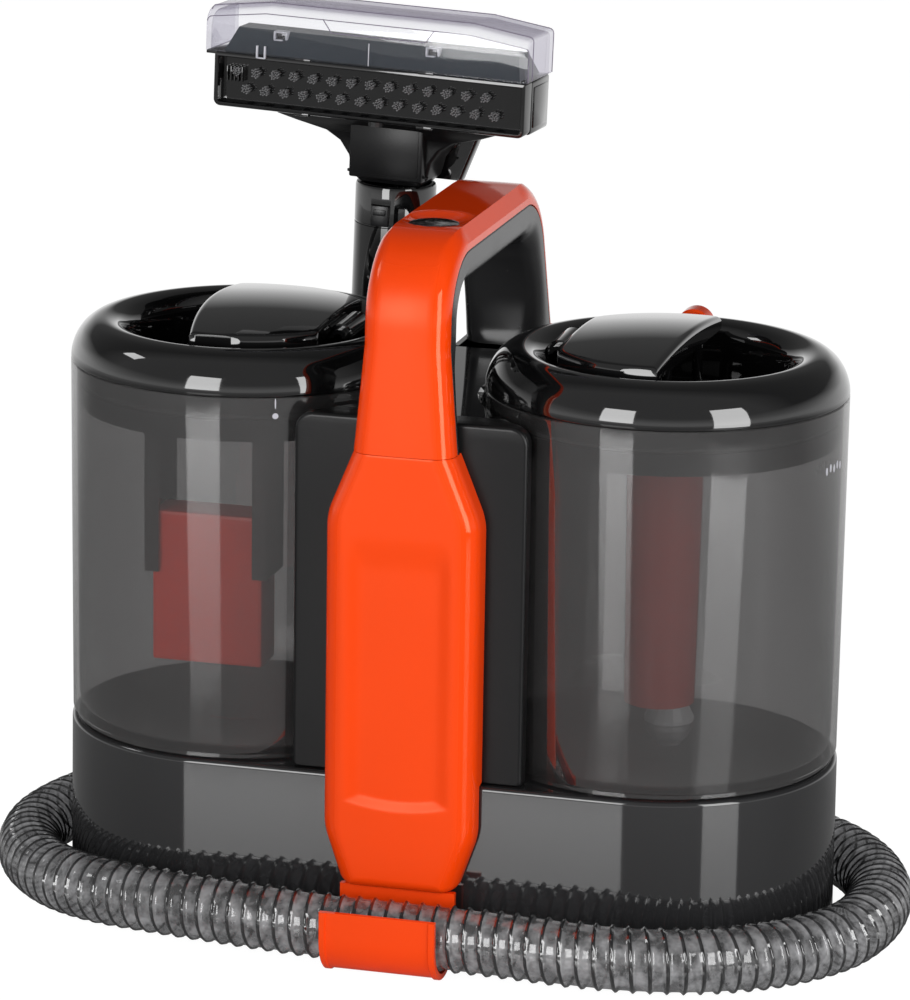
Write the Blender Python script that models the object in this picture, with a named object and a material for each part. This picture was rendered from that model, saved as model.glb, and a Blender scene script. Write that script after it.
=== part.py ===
"""Twin-tank spot extractor: a solid for each of its pieces, at real size, in metres.

+X runs from the recovery tank to the clean-water tank, +Y to the back, +Z up.
The origin is on the floor, in the middle of the footprint.
"""

import math

import bmesh
import bpy
from mathutils import Matrix, Vector

# --- driving dimensions -------------------------------------------------------------------
SEAT = 0.0003             # gap that touching pieces keep
WALL = 0.0024             # moulded wall of the casing
FINE_WALL = 0.0018        # wall of ducts and small mouldings

TANK_PITCH = 0.1804       # between the two tank axes
TANK_RADIUS = 0.0755
TANK_WALL = 0.0024
TANK_FLOOR = 0.0036
TANK_HEIGHT = 0.1552
TANK_FOOT_INSET = 0.0022  # shadow gap round the tank's foot
TANK_FOOT_HEIGHT = 0.0022

FOOT_HEIGHT = 0.0032
FOOT_RADIUS = 0.0095
BASE_HEIGHT = 0.0733      # of the base shell alone
DECK = 0.0030
BASE_EDGE = 0.0020        # rounding of the deck's rim
PLATE_THICKNESS = 0.0025

TOWER_TOP = 0.2280
TOWER_FRONT = -0.0580
TOWER_BACK = 0.0660
TANK_CLEARANCE = 0.0015   # between a tank and the tower

PANEL_FRONT = -0.0720
PANEL_TOP = 0.2285
PANEL_HALF_WIDTH = 0.0490

COVER_FRONT = -0.0880     # orange front cover
COVER_BOTTOM = 0.0325
COVER_TOP = 0.2167
COVER_HALF_WIDTH = 0.0324
COVER_NECK_HALF_WIDTH = 0.0214
COVER_TOE_HALF_WIDTH = 0.0238
COVER_ROUNDING = 0.0080    # of the edge between the cover's face and its sides
RECESS_HALF_WIDTH = 0.0235
RECESS_BOTTOM = 0.0690
RECESS_TOP = 0.1780
RECESS_DEPTH = 0.0012

HANDLE_TOP = 0.3045
HANDLE_HALF_WIDTH = 0.0178
HANDLE_THICKNESS = 0.0225
HANDLE_FOOT_THICKNESS = 0.0152   # where the front leg stands on the front cover
HANDLE_FRONT_RADIUS = 0.0360
HANDLE_REAR_RADIUS = 0.0300
HANDLE_REAR_TOP_Y = 0.0745
HANDLE_REAR_FOOT_Y = 0.1020
HANDLE_REAR_INNER_Y = 0.0720     # front face of the rear leg at its foot
HANDLE_CHAMFER = 0.0042
SKIN_DEPTH = 0.0085              # how far the skin's flanges reach down the sides
SKIN_FOOT_DEPTH = 0.0100

BUTTON_RADIUS = 0.0105
BUTTON_Y = -0.0400
BUTTON_TRAVEL = 0.0015
BUTTON_CLEARANCE = 0.0003
SWITCH_SIDE = 0.0120

LID_RING_HEIGHT = 0.0174  # of the rolled ring above the tank's rim
LID_CROWN_RADIUS = 0.0610 # of the highest line of the ring
BOWL_DEPTH = 0.0110       # of the bowl's floor below the tank's rim
LID_SKIRT_DEPTH = 0.0195
LID_SKIRT_CLEARANCE = 0.0005
SEAL_HEIGHT = 0.0024
SEAL_DEPTH = 0.0100       # of the seal's groove below the rim

GRIP_RADIUS = 0.0520
GRIP_INBOARD = 0.0392
RECOVERY_GRIP_EDGE = (0.0110, 0.0205, 0.0040)   # outboard edge: front end, back end, bulge
CLEAN_GRIP_EDGE = (0.0068, 0.0116, 0.0004)
GRIP_EDGE = 0.0052
GRIP_CROWN = 0.0040
GRIP_UNDERSIDE = 0.0150   # above the tank's rim
HINGE_OFFSET = 0.0433     # inboard of the tank's axis
BARREL_RADIUS = 0.0052
BARREL_LENGTH = 0.0260
PIN_RADIUS = 0.0018
LUG_RADIUS = 0.0035
POST_OFFSET = 0.0060      # of the two rests under each grip, outboard of the tank's axis
PIN_CLEARANCE = 0.0003

LID_LATCH_X = 0.0846
LID_LATCH_Y = 0.0742      # of the tab's inner end, in its pocket in the ring
LID_LATCH_Z = 0.2419
LID_LATCH_RADIUS = 0.0076
LID_LATCH_LENGTH = 0.0100
LID_LATCH_TRAVEL = 0.0018

FLOAT_WIDTH = 0.0480
FLOAT_DEPTH = 0.0200
FLOAT_HEIGHT = 0.0650
FLOAT_BOTTOM = 0.1090
FLOAT_SHIFT_X = -0.0050   # from the tank's axis
FLOAT_SHIFT_Y = -0.0340
FLOAT_CLEARANCE = 0.0004
RAIL_WALL = 0.0022
RAIL_LIP = 0.0040
RAIL_BOTTOM = 0.1480

NECK_RADIUS = 0.0250
NECK_LENGTH = 0.0180
DOSING_RADIUS = 0.0162
DOSING_BOTTOM = 0.0980

TOOL_X = -0.0576
TOOL_Y = 0.0930
TOOL_LEAN = math.radians(1.6)   # of the docked tool, its top towards the clean-water tank
TOOL_YAW = math.radians(-5.0)
TOOL_RADIUS = 0.0176
TUBE_WALL = 0.0022
TUBE_BOTTOM = 0.1500
TUBE_TOP = 0.2930
HEAD_WIDTH = 0.1415
HEAD_DEPTH = 0.0320
HEAD_REACH = 0.0400       # from the tube's axis to the brush face
HEAD_BOTTOM = 0.3255
HEAD_TOP = 0.3490
TOOL_COVER_TOP = 0.3715
HOOD_OVERHANG = 0.0030     # of the clear cover past the left end of the head
TUFT_PITCH = 0.0087
TUFT_RADIUS = 0.0019
TUFT_LENGTH = 0.0050
TUFTS_PER_ROW = 14

TRIGGER_PIN_Y = TOOL_Y + TOOL_RADIUS + 0.0026
TRIGGER_PIN_Z = TUBE_TOP - 0.0130
TRIGGER_PIN_RADIUS = 0.0010
TRIGGER_HALF_WIDTH = 0.0060
TRIGGER_LENGTH = 0.0440
LATCH_X = TOOL_X - 0.0020
LATCH_Z = TUBE_TOP - 0.0125
LATCH_WIDTH = 0.0080
LATCH_HEIGHT = 0.0090
LATCH_PROUD = 0.0012
DOCK_BOTTOM = 0.1620
DOCK_TOP = 0.1880

REACH = 0.1148            # from the origin to the front of the hose clip and back of the dock

HOSE_DIAMETER = 0.0280
CUFF_RADIUS = 0.0165
CUFF_LENGTH = 0.0250
CLIP_WIDTH = 0.0490
CLIP_WALL = 0.0022
CLIP_LINE_Y = -0.0980     # of the hose where the clip holds it
CLIP_HOSE_Z = 0.0180

FAN_RADIUS = 0.0430
FAN_BLADES = 9
FAN_HOUSING_RADIUS = 0.0500
MOTOR_RADIUS = 0.0310
SHAFT_RADIUS = 0.0030
SHAFT_CLEARANCE = 0.0001

VALVE_X = 0.0890
VALVE_Y = 0.0270
VALVE_RADIUS = 0.0090
VALVE_TRAVEL = 0.0030
VALVE_DRAIN = 0.0050      # hole in the deck that the water runs through
VALVE_POST = 0.0018       # radius of the base's post that holds the valve open
VALVE_POST_RISE = 0.0018  # above the deck
VALVE_ROOF = 0.0090        # of the valve's chamber, above the tank's foot

ROUND_STEPS = 32          # facets round a tank or a lid
SMALL_STEPS = 16

# --- heights that follow ------------------------------------------------------------------
BASE_BOTTOM = FOOT_HEIGHT + SEAT
BASE_TOP = BASE_BOTTOM + BASE_HEIGHT
TANK_BOTTOM = BASE_TOP + SEAT
TANK_TOP = TANK_BOTTOM + TANK_HEIGHT
LID_BOTTOM = TANK_TOP + SEAT
LEFT_AXIS = Vector((-TANK_PITCH / 2, 0.0, 0.0))
RIGHT_AXIS = Vector((TANK_PITCH / 2, 0.0, 0.0))


# --- tools --------------------------------------------------------------------------------
def clear_scene():
    for obj in list(bpy.data.objects):
        bpy.data.objects.remove(obj, do_unlink=True)


def material(name, colour, roughness, metallic=0.0, alpha=1.0):
    made = bpy.data.materials.get(name)
    if made:
        return made
    made = bpy.data.materials.new(name)
    made.use_nodes = True
    shader = made.node_tree.nodes["Principled BSDF"]
    shader.inputs["Base Color"].default_value = (*colour, 1.0)
    shader.inputs["Roughness"].default_value = roughness
    shader.inputs["Metallic"].default_value = metallic
    shader.inputs["Alpha"].default_value = alpha
    made.diffuse_color = (*colour, alpha)
    return made


def orange():
    return material("orange_gloss", (1.0, 0.076, 0.0), 0.18)


def black_gloss():
    return material("black_gloss", (0.012, 0.012, 0.013), 0.12)


def dark_grey():
    return material("dark_grey_gloss", (0.085, 0.085, 0.088), 0.2)


def satin_grey():
    return material("satin_grey", (0.035, 0.035, 0.036), 0.45)


def smoked_clear():
    return material("smoked_clear", (0.18, 0.18, 0.18), 0.05, alpha=0.4)


def clear_plastic():
    return material("clear_plastic", (0.8, 0.8, 0.85), 0.05, alpha=0.3)


def red_plastic():
    return material("red_plastic", (0.42, 0.03, 0.02), 0.3)


def rubber():
    return material("black_rubber", (0.02, 0.02, 0.02), 0.8)


def slate_blue():
    return material("slate_blue", (0.028, 0.045, 0.06), 0.3)


def steel():
    return material("steel", (0.6, 0.6, 0.62), 0.3, metallic=1.0)


def board_green():
    return material("board_green", (0.02, 0.16, 0.07), 0.5)


def finish(name, bm, look, smooth_angle=35.0):
    """Closes a bmesh into a named object, with its faces pointing out."""
    bmesh.ops.recalc_face_normals(bm, faces=bm.faces)
    mesh = bpy.data.meshes.new(name)
    bm.to_mesh(mesh)
    bm.free()
    mesh.materials.append(look)
    mesh.shade_smooth()
    mesh.set_sharp_from_angle(angle=math.radians(smooth_angle))
    obj = bpy.data.objects.new(name, mesh)
    bpy.context.scene.collection.objects.link(obj)
    return obj


def place_at(obj, x, y, z):
    """Puts an object's origin at a point without moving its shape."""
    obj.data.transform(Matrix.Translation((-x, -y, -z)))
    obj.location = (x, y, z)
    return obj


def ring_of(bm, points):
    return [bm.verts.new(point) for point in points]


def bridge(bm, first, second):
    count = len(first)
    for i in range(count):
        j = (i + 1) % count
        bm.faces.new((first[i], first[j], second[j], second[i]))


def add_loft(bm, sections):
    """Skins rings of equal length and closes both ends."""
    rings = [ring_of(bm, section) for section in sections]
    for first, second in zip(rings, rings[1:]):
        bridge(bm, first, second)
    bm.faces.new(rings[0])
    bm.faces.new(rings[-1])


def add_cup(bm, outer, inner):
    """A shell with one open end: outer and inner rings both start at the open rim."""
    outside = [ring_of(bm, section) for section in outer]
    inside = [ring_of(bm, section) for section in inner]
    for rings in (outside, inside):
        for first, second in zip(rings, rings[1:]):
            bridge(bm, first, second)
        bm.faces.new(rings[-1])
    bridge(bm, outside[0], inside[0])


def loft(name, sections, look, smooth_angle=35.0):
    bm = bmesh.new()
    add_loft(bm, sections)
    return finish(name, bm, look, smooth_angle)


def cup(name, outer, inner, look, smooth_angle=35.0):
    bm = bmesh.new()
    add_cup(bm, outer, inner)
    return finish(name, bm, look, smooth_angle)


def add_lathe(bm, profile, steps, axis_x=0.0, axis_y=0.0):
    """Turns a closed profile of (radius, height) about a vertical axis."""
    rings = []
    for radius, height in profile:
        if radius < 1e-6:
            rings.append([bm.verts.new((axis_x, axis_y, height))])
            continue
        ring = []
        for i in range(steps):
            angle = 2 * math.pi * i / steps
            x = axis_x + radius * math.cos(angle)
            y = axis_y + radius * math.sin(angle)
            ring.append(bm.verts.new((x, y, height)))
        rings.append(ring)
    pairs = list(zip(rings, rings[1:] + rings[:1]))
    for first, second in pairs:
        if len(first) == 1 and len(second) == 1:
            continue
        for i in range(steps):
            j = (i + 1) % steps
            if len(first) == 1:
                bm.faces.new((first[0], second[j], second[i]))
            elif len(second) == 1:
                bm.faces.new((first[i], first[j], second[0]))
            else:
                bm.faces.new((first[i], first[j], second[j], second[i]))


def lathe(name, profile, look, axis, steps=ROUND_STEPS, smooth_angle=40.0):
    bm = bmesh.new()
    add_lathe(bm, profile, steps, axis.x, axis.y)
    return finish(name, bm, look, smooth_angle)


def add_box(bm, low, high):
    corners = [(x, y, z) for z in (low[2], high[2]) for y in (low[1], high[1]) for x in (low[0], high[0])]
    verts = [bm.verts.new(corner) for corner in corners]
    for face in ((0, 2, 3, 1), (4, 5, 7, 6), (0, 1, 5, 4), (2, 6, 7, 3), (0, 4, 6, 2), (1, 3, 7, 5)):
        bm.faces.new([verts[i] for i in face])


def box(name, low, high, look, rounding=0.0):
    bm = bmesh.new()
    add_box(bm, low, high)
    if rounding:
        bmesh.ops.bevel(bm, geom=bm.verts[:] + bm.edges[:], offset=rounding, segments=2, affect="EDGES", profile=0.6)
    return finish(name, bm, look)


def add_bar(bm, start, end, radius, steps=SMALL_STEPS):
    """A round bar between two points."""
    start = Vector(start)
    end = Vector(end)
    along = (end - start).normalized()
    side = along.orthogonal().normalized()
    other = along.cross(side)
    rings = []
    for centre in (start, end):
        ring = []
        for i in range(steps):
            angle = 2 * math.pi * i / steps
            ring.append(centre + radius * (math.cos(angle) * side + math.sin(angle) * other))
        rings.append(ring)
    add_loft(bm, rings)


def bar(name, start, end, radius, look, steps=SMALL_STEPS):
    bm = bmesh.new()
    add_bar(bm, start, end, radius, steps)
    return finish(name, bm, look)


def cutter(obj):
    obj.hide_render = True
    obj.display_type = "WIRE"
    return obj


def boolean(obj, operation, other):
    change = obj.modifiers.new(operation.lower(), "BOOLEAN")
    change.operation = operation
    change.solver = "EXACT"
    change.object = cutter(other)
    return obj


def cut_box(obj, low, high):
    return boolean(obj, "DIFFERENCE", box(obj.name + "_cut", low, high, obj.data.materials[0]))


def cut_bar(obj, start, end, radius, steps=SMALL_STEPS):
    return boolean(obj, "DIFFERENCE", bar(obj.name + "_cut", start, end, radius, obj.data.materials[0], steps))


def join_bar(obj, start, end, radius, steps=SMALL_STEPS):
    return boolean(obj, "UNION", bar(obj.name + "_join", start, end, radius, obj.data.materials[0], steps))


def join_box(obj, low, high, rounding=0.0):
    return boolean(obj, "UNION", box(obj.name + "_join", low, high, obj.data.materials[0], rounding))


def rounded(points, radii, steps=4):
    """A closed outline with each corner turned into an arc of its own radius."""
    outline = []
    count = len(points)
    for i, point in enumerate(points):
        radius = radii[i] if isinstance(radii, (list, tuple)) else radii
        corner = Vector(point)
        if radius < 1e-6:
            outline.append(corner)
            continue
        outline += fillet(Vector(points[i - 1]), corner, Vector(points[(i + 1) % count]), radius, steps)
    return outline


def fillet(before, corner, after, radius, steps):
    """Points of the arc that rounds one corner of a flat outline."""
    to_before = (before - corner).normalized()
    to_after = (after - corner).normalized()
    half = to_before.angle(to_after) / 2
    reach = min(radius / math.tan(half), 0.49 * (before - corner).length, 0.49 * (after - corner).length)
    centre = corner + (to_before + to_after).normalized() * (reach / math.cos(half))
    start = corner + to_before * reach - centre
    end = corner + to_after * reach - centre
    return [centre + start.slerp(end, i / steps).normalized() * start.length for i in range(steps + 1)]


def stadium(radius, z, steps=18):
    """The base's outline: two half rounds about the tank axes."""
    points = []
    for axis_x, first in ((TANK_PITCH / 2, -90.0), (-TANK_PITCH / 2, 90.0)):
        for i in range(steps + 1):
            angle = math.radians(first + 180.0 * i / steps)
            points.append((axis_x + radius * math.cos(angle), radius * math.sin(angle), z))
    return points


def scallop_half_width(y, offset):
    """Half the tower's width at y, where it stays clear of both tanks."""
    radius = TANK_RADIUS + offset
    return TANK_PITCH / 2 - math.sqrt(radius * radius - y * y)


def tube_curve(name, route, radius, look, spacing, resolution=2):
    """A plain tube along a smooth curve through the route's points."""
    points = smooth_route([Vector(point) for point in route], spacing)
    data = bpy.data.curves.new(name, "CURVE")
    data.dimensions = "3D"
    data.bevel_depth = radius
    data.bevel_resolution = resolution
    data.use_fill_caps = True
    spline = data.splines.new("POLY")
    spline.points.add(len(points) - 1)
    for spot, point in zip(spline.points, points):
        spot.co = (*point, 1.0)
    data.materials.append(look)
    obj = bpy.data.objects.new(name, data)
    bpy.context.scene.collection.objects.link(obj)
    return obj


def smooth_route(route, spacing):
    """Evenly spaced points of a smooth curve through all the route's points."""
    ends = [2 * route[0] - route[1]] + route + [2 * route[-1] - route[-2]]
    fine = []
    for before, start, end, after in zip(ends, ends[1:], ends[2:], ends[3:]):
        for i in range(24):
            t = i / 24
            fine.append(
                0.5 * ((2 * start) + (end - before) * t
                       + (2 * before - 5 * start + 4 * end - after) * t * t
                       + (3 * start - before - 3 * end + after) * t * t * t))
    fine.append(route[-1])
    length = sum((b - a).length for a, b in zip(fine, fine[1:]))
    count = max(2, round(length / spacing))
    points = [fine[0]]
    travelled = 0.0
    for a, b in zip(fine, fine[1:]):
        travelled += (b - a).length
        if travelled >= length * len(points) / count and len(points) < count:
            points.append(b)
    points.append(fine[-1])
    return points


# --- casing -------------------------------------------------------------------------------
def base_shell():
    rim = TANK_RADIUS + 0.0005
    outer = [
        stadium(rim, BASE_BOTTOM),
        stadium(TANK_RADIUS, BASE_TOP - BASE_EDGE),
        stadium(TANK_RADIUS - 0.3 * BASE_EDGE, BASE_TOP - 0.3 * BASE_EDGE),
        stadium(TANK_RADIUS - BASE_EDGE, BASE_TOP),
    ]
    inner = [
        stadium(rim - WALL, BASE_BOTTOM),
        stadium(TANK_RADIUS - WALL, BASE_TOP - DECK),
    ]
    shell = cup("base_shell", outer, inner, dark_grey())
    above = BASE_TOP + 0.01
    below = BASE_TOP - 0.01
    cut_bar(shell, (VALVE_X, VALVE_Y, below), (VALVE_X, VALVE_Y, above), VALVE_DRAIN)
    cut_bar(shell, (0, 0, below), (0, 0, above), AIR_DUCT_HALF - FINE_WALL)
    cut_bar(shell, (DIRTY_DUCT_X, DIRTY_DUCT_Y, below), (DIRTY_DUCT_X, DIRTY_DUCT_Y, above), DIRTY_BORE)
    cut_bar(shell, (PORT_X, TANK_RADIUS - 0.01, PORT_Z), (PORT_X, TANK_RADIUS + 0.01, PORT_Z), PORT_NECK + 0.0004)
    cut_bar(shell, (GLAND_X, TANK_RADIUS - 0.01, GLAND_Z), (GLAND_X, TANK_RADIUS + 0.01, GLAND_Z), GLAND_RADIUS)
    return shell


AIR_DUCT_HALF = 0.0100
DIRTY_DUCT_X = 0.0
DIRTY_DUCT_Y = 0.0350
DIRTY_BORE = 0.0075
PORT_X = -0.0525
PORT_Z = 0.0178
PORT_NECK = 0.0112
GLAND_X = 0.0500
GLAND_Z = 0.0560
GLAND_RADIUS = 0.0060


def bottom_plate():
    edge = TANK_RADIUS + 0.0005 - WALL - SEAT
    top = BASE_BOTTOM + PLATE_THICKNESS
    plate = loft("bottom_plate", [stadium(edge, BASE_BOTTOM), stadium(edge, top)], dark_grey())
    slots = bmesh.new()
    for i in range(5):
        x = -0.0240 + 0.0120 * i
        add_box(slots, (x - 0.0020, -0.0620, BASE_BOTTOM - 0.005), (x + 0.0020, -0.0400, top + 0.005))
    boolean(plate, "DIFFERENCE", finish("plate_slots", slots, dark_grey()))
    return plate


def feet():
    spots = [(-0.1150, -0.0400), (0.1150, -0.0400), (-0.1150, 0.0400), (0.1150, 0.0400)]
    names = ["foot_front_left", "foot_front_right", "foot_rear_left", "foot_rear_right"]
    for name, (x, y) in zip(names, spots):
        profile = [
            (0.0, 0.0),
            (FOOT_RADIUS - 0.0010, 0.0),
            (FOOT_RADIUS, 0.0010),
            (FOOT_RADIUS, FOOT_HEIGHT),
            (0.0, FOOT_HEIGHT),
        ]
        lathe(name, profile, rubber(), Vector((x, y, 0.0)), SMALL_STEPS)


def tower_outline(front, back, offset, z, steps=12):
    """Waisted plan of the tower, hollowed on each side for a tank."""
    right = []
    first = math.asin(front / (TANK_RADIUS + offset))
    last = math.asin(back / (TANK_RADIUS + offset))
    for i in range(steps + 1):
        y = (TANK_RADIUS + offset) * math.sin(first + (last - first) * i / steps)
        right.append((scallop_half_width(y, offset), y, z))
    left = [(-x, y, z) for x, y, _ in reversed(right)]
    return right + left


def tower():
    bottom = BASE_TOP + SEAT
    outer_gap = TANK_CLEARANCE
    inner_gap = TANK_CLEARANCE + WALL
    outer = [
        tower_outline(TOWER_FRONT, TOWER_BACK, outer_gap, bottom),
        tower_outline(TOWER_FRONT, TOWER_BACK, outer_gap, TOWER_TOP - 0.0015),
        tower_outline(TOWER_FRONT + 0.0015, TOWER_BACK - 0.0015, outer_gap + 0.0015, TOWER_TOP),
    ]
    inner = [
        tower_outline(TOWER_FRONT + WALL, TOWER_BACK - WALL, inner_gap, bottom),
        tower_outline(TOWER_FRONT + WALL, TOWER_BACK - WALL, inner_gap, TOWER_TOP - WALL),
    ]
    return cup("tower_housing", outer, inner, black_gloss())


def panel_ring(y, half_width, bottom, top, corner):
    corners = [(-half_width, bottom), (half_width, bottom), (half_width, top), (-half_width, top)]
    flat = rounded(corners, [0.0015, 0.0015, corner, corner], 4)
    return [(point.x, y, point.y) for point in flat]


def front_panel():
    back = TOWER_FRONT - SEAT
    bottom = BASE_TOP + SEAT
    middle = (back + PANEL_FRONT) / 2
    half_back = scallop_half_width(back, TANK_CLEARANCE)
    half_middle = min(PANEL_HALF_WIDTH, scallop_half_width(middle, TANK_CLEARANCE))
    outer = [
        panel_ring(back, half_back, bottom, PANEL_TOP, 0.0070),
        panel_ring(middle, half_middle, bottom, PANEL_TOP, 0.0070),
        panel_ring(PANEL_FRONT + 0.0012, PANEL_HALF_WIDTH, bottom, PANEL_TOP, 0.0070),
        panel_ring(PANEL_FRONT, PANEL_HALF_WIDTH - 0.0012, bottom + 0.0008, PANEL_TOP - 0.0012, 0.0062),
    ]
    inner = [
        panel_ring(back, half_back - WALL, bottom + WALL, PANEL_TOP - WALL, 0.0050),
        panel_ring(middle, half_middle - WALL, bottom + WALL, PANEL_TOP - WALL, 0.0050),
        panel_ring(PANEL_FRONT + WALL, PANEL_HALF_WIDTH - 2 * WALL, bottom + WALL, PANEL_TOP - WALL, 0.0050),
    ]
    return cup("front_panel", outer, inner, satin_grey())


def cover_outline(y, inset):
    """Front view of the orange cover: a bottle's outline with a rounded toe."""
    half = [
        (COVER_TOE_HALF_WIDTH, COVER_BOTTOM),
        (COVER_HALF_WIDTH, RECESS_BOTTOM),
        (COVER_HALF_WIDTH, COVER_TOP - 0.0270),
        (COVER_NECK_HALF_WIDTH, COVER_TOP),
    ]
    left = [(-x, z) for x, z in reversed(half)]
    flat = rounded(half + left, [0.006, 0.060, 0.030, 0.001, 0.001, 0.030, 0.060, 0.006], 4)
    middle = (COVER_BOTTOM + COVER_TOP) / 2
    across = 1 - inset / COVER_HALF_WIDTH
    up = 1 - 2 * inset / (COVER_TOP - COVER_BOTTOM)
    return [(point.x * across, y, middle + (point.y - middle) * up) for point in flat]


def front_cover():
    back = PANEL_FRONT - SEAT
    outer = [
        cover_outline(back, 0.0),
        cover_outline(COVER_FRONT + COVER_ROUNDING, 0.0),
        cover_outline(COVER_FRONT + 0.40 * COVER_ROUNDING, 0.10 * COVER_ROUNDING),
        cover_outline(COVER_FRONT + 0.10 * COVER_ROUNDING, 0.42 * COVER_ROUNDING),
        cover_outline(COVER_FRONT, 0.85 * COVER_ROUNDING),
    ]
    inner = [
        cover_outline(back, WALL),
        cover_outline(COVER_FRONT + COVER_ROUNDING, WALL),
        cover_outline(COVER_FRONT + WALL, COVER_ROUNDING),
    ]
    cover = cup("front_cover", outer, inner, orange())
    low = (-0.05, -TANK_RADIUS - 0.0005 - SEAT, 0.0)
    cut_box(cover, low, (0.05, -0.05, BASE_TOP + SEAT))
    recess = rounded(
        [(-RECESS_HALF_WIDTH, RECESS_BOTTOM), (RECESS_HALF_WIDTH, RECESS_BOTTOM),
         (RECESS_HALF_WIDTH, RECESS_TOP), (-RECESS_HALF_WIDTH, RECESS_TOP)], 0.009, 4)
    sections = [[(p.x, y, p.y) for p in recess] for y in (COVER_FRONT - 0.005, COVER_FRONT + RECESS_DEPTH)]
    boolean(cover, "DIFFERENCE", loft("cover_recess", sections, orange()))
    return cover


# --- handle -------------------------------------------------------------------------------
def handle_path():
    """Side view of the handle's outer face, from the front leg over the top to the rear leg."""
    foot = Vector((COVER_FRONT, COVER_TOP + SEAT))
    front = Vector((COVER_FRONT + 0.0035, HANDLE_TOP))
    rear = Vector((HANDLE_REAR_TOP_Y, HANDLE_TOP - 0.0005))
    rear_foot = Vector((HANDLE_REAR_FOOT_Y, TOWER_TOP + SEAT))
    path = [foot, foot.lerp(front, 0.16), foot.lerp(front, 0.32), foot.lerp(front, 0.5)]
    path += fillet(foot, front, rear, HANDLE_FRONT_RADIUS, 7)
    path.append(front.lerp(rear, 0.40))
    path.append(front.lerp(rear, 0.60))
    path += fillet(front, rear, rear_foot, HANDLE_REAR_RADIUS, 6)
    path += [rear.lerp(rear_foot, 0.70), rear_foot]
    return path


def handle_frames():
    """(point, inward normal, half width, thickness, skin depth) along the handle."""
    path = handle_path()
    frames = []
    for i, point in enumerate(path):
        along = (path[min(i + 1, len(path) - 1)] - path[max(i - 1, 0)]).normalized()
        inward = Vector((along.y, -along.x))
        if i == 0:
            inward = Vector((1.0, 0.0))
        if i == len(path) - 1:
            inward = Vector((-1.0, 0.0))
        share = min(1.0, i / 3.0)
        half = COVER_NECK_HALF_WIDTH + (HANDLE_HALF_WIDTH - COVER_NECK_HALF_WIDTH) * share
        thick = HANDLE_FOOT_THICKNESS + (HANDLE_THICKNESS - HANDLE_FOOT_THICKNESS) * share ** 3
        depth = SKIN_FOOT_DEPTH + (SKIN_DEPTH - SKIN_FOOT_DEPTH) * share
        if i >= len(path) - 2:
            thick = point.x - HANDLE_REAR_INNER_Y
        frames.append((point, inward, half, thick, depth))
    return frames


def handle_section(frame, shape):
    point, inward = frame[0], frame[1]
    return [(x, point.x + inward.x * n, point.y + inward.y * n) for x, n in shape]


def skin_shape(half, depth):
    chamfer = HANDLE_CHAMFER
    outer = [(-half, depth), (-half, chamfer), (-half + 0.3 * chamfer, 0.35 * chamfer), (-half + chamfer, 0.0)]
    inner_half = half - WALL
    inner = [(-inner_half, depth), (-inner_half, chamfer + 0.4 * WALL), (-inner_half + 0.8 * chamfer, WALL)]
    right = [(-x, n) for x, n in reversed(outer)]
    return outer + right + [(-x, n) for x, n in inner] + list(reversed(inner))


def core_shape(half, thick, depth):
    edge = 0.0030
    top = depth + SEAT
    outline = [(-half, top), (-half, thick - edge), (-half + 0.3 * edge, thick - 0.3 * edge), (-half + edge, thick)]
    return outline + [(-x, n) for x, n in reversed(outline)]


def handle():
    frames = handle_frames()
    skin = loft("handle_skin", [handle_section(f, skin_shape(f[2], f[4])) for f in frames], orange())
    core = loft("handle_core", [handle_section(f, core_shape(f[2], f[3], f[4])) for f in frames],
                dark_grey())
    cut_bar(skin, (0, BUTTON_Y, HANDLE_TOP - 0.02), (0, BUTTON_Y, HANDLE_TOP + 0.02),
            BUTTON_RADIUS + BUTTON_CLEARANCE, 24)
    pocket = SWITCH_SIDE / 2 + SEAT
    core_top = HANDLE_TOP - SKIN_DEPTH - SEAT
    cut_box(core, (-pocket, BUTTON_Y - pocket, core_top - 0.0040), (pocket, BUTTON_Y + pocket, core_top + 0.01))
    return skin, core


def power_button():
    """Round push button flush with the handle's top, on a short stem."""
    top = HANDLE_TOP + 0.0004
    flange = BUTTON_RADIUS
    profile = [
        (0.0, top),
        (flange - 0.0012, top - 0.0002),
        (flange, top - 0.0012),
        (flange, top - 0.0040),
        (0.0030, top - 0.0040),
        (0.0030, SWITCH_TOP + SEAT + BUTTON_TRAVEL),
        (0.0, SWITCH_TOP + SEAT + BUTTON_TRAVEL),
    ]
    button = lathe("power_button", profile, black_gloss(), Vector((0, BUTTON_Y, 0)), 24)
    return place_at(button, 0, BUTTON_Y, top)


SWITCH_TOP = HANDLE_TOP - SKIN_DEPTH - SEAT + 0.0015


def power_switch():
    half = SWITCH_SIDE / 2
    bottom = HANDLE_TOP - SKIN_DEPTH - SEAT - 0.0040 + SEAT
    return box("power_switch", (-half, BUTTON_Y - half, bottom), (half, BUTTON_Y + half, SWITCH_TOP),
               black_gloss(), 0.0005)


def rear_half_width(z):
    """Half the rear cover's width, which narrows upwards to the handle's."""
    share = (z - BASE_TOP) / (TOWER_TOP - BASE_TOP)
    return 0.0340 + (HANDLE_HALF_WIDTH + 0.0012 - 0.0340) * share


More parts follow.
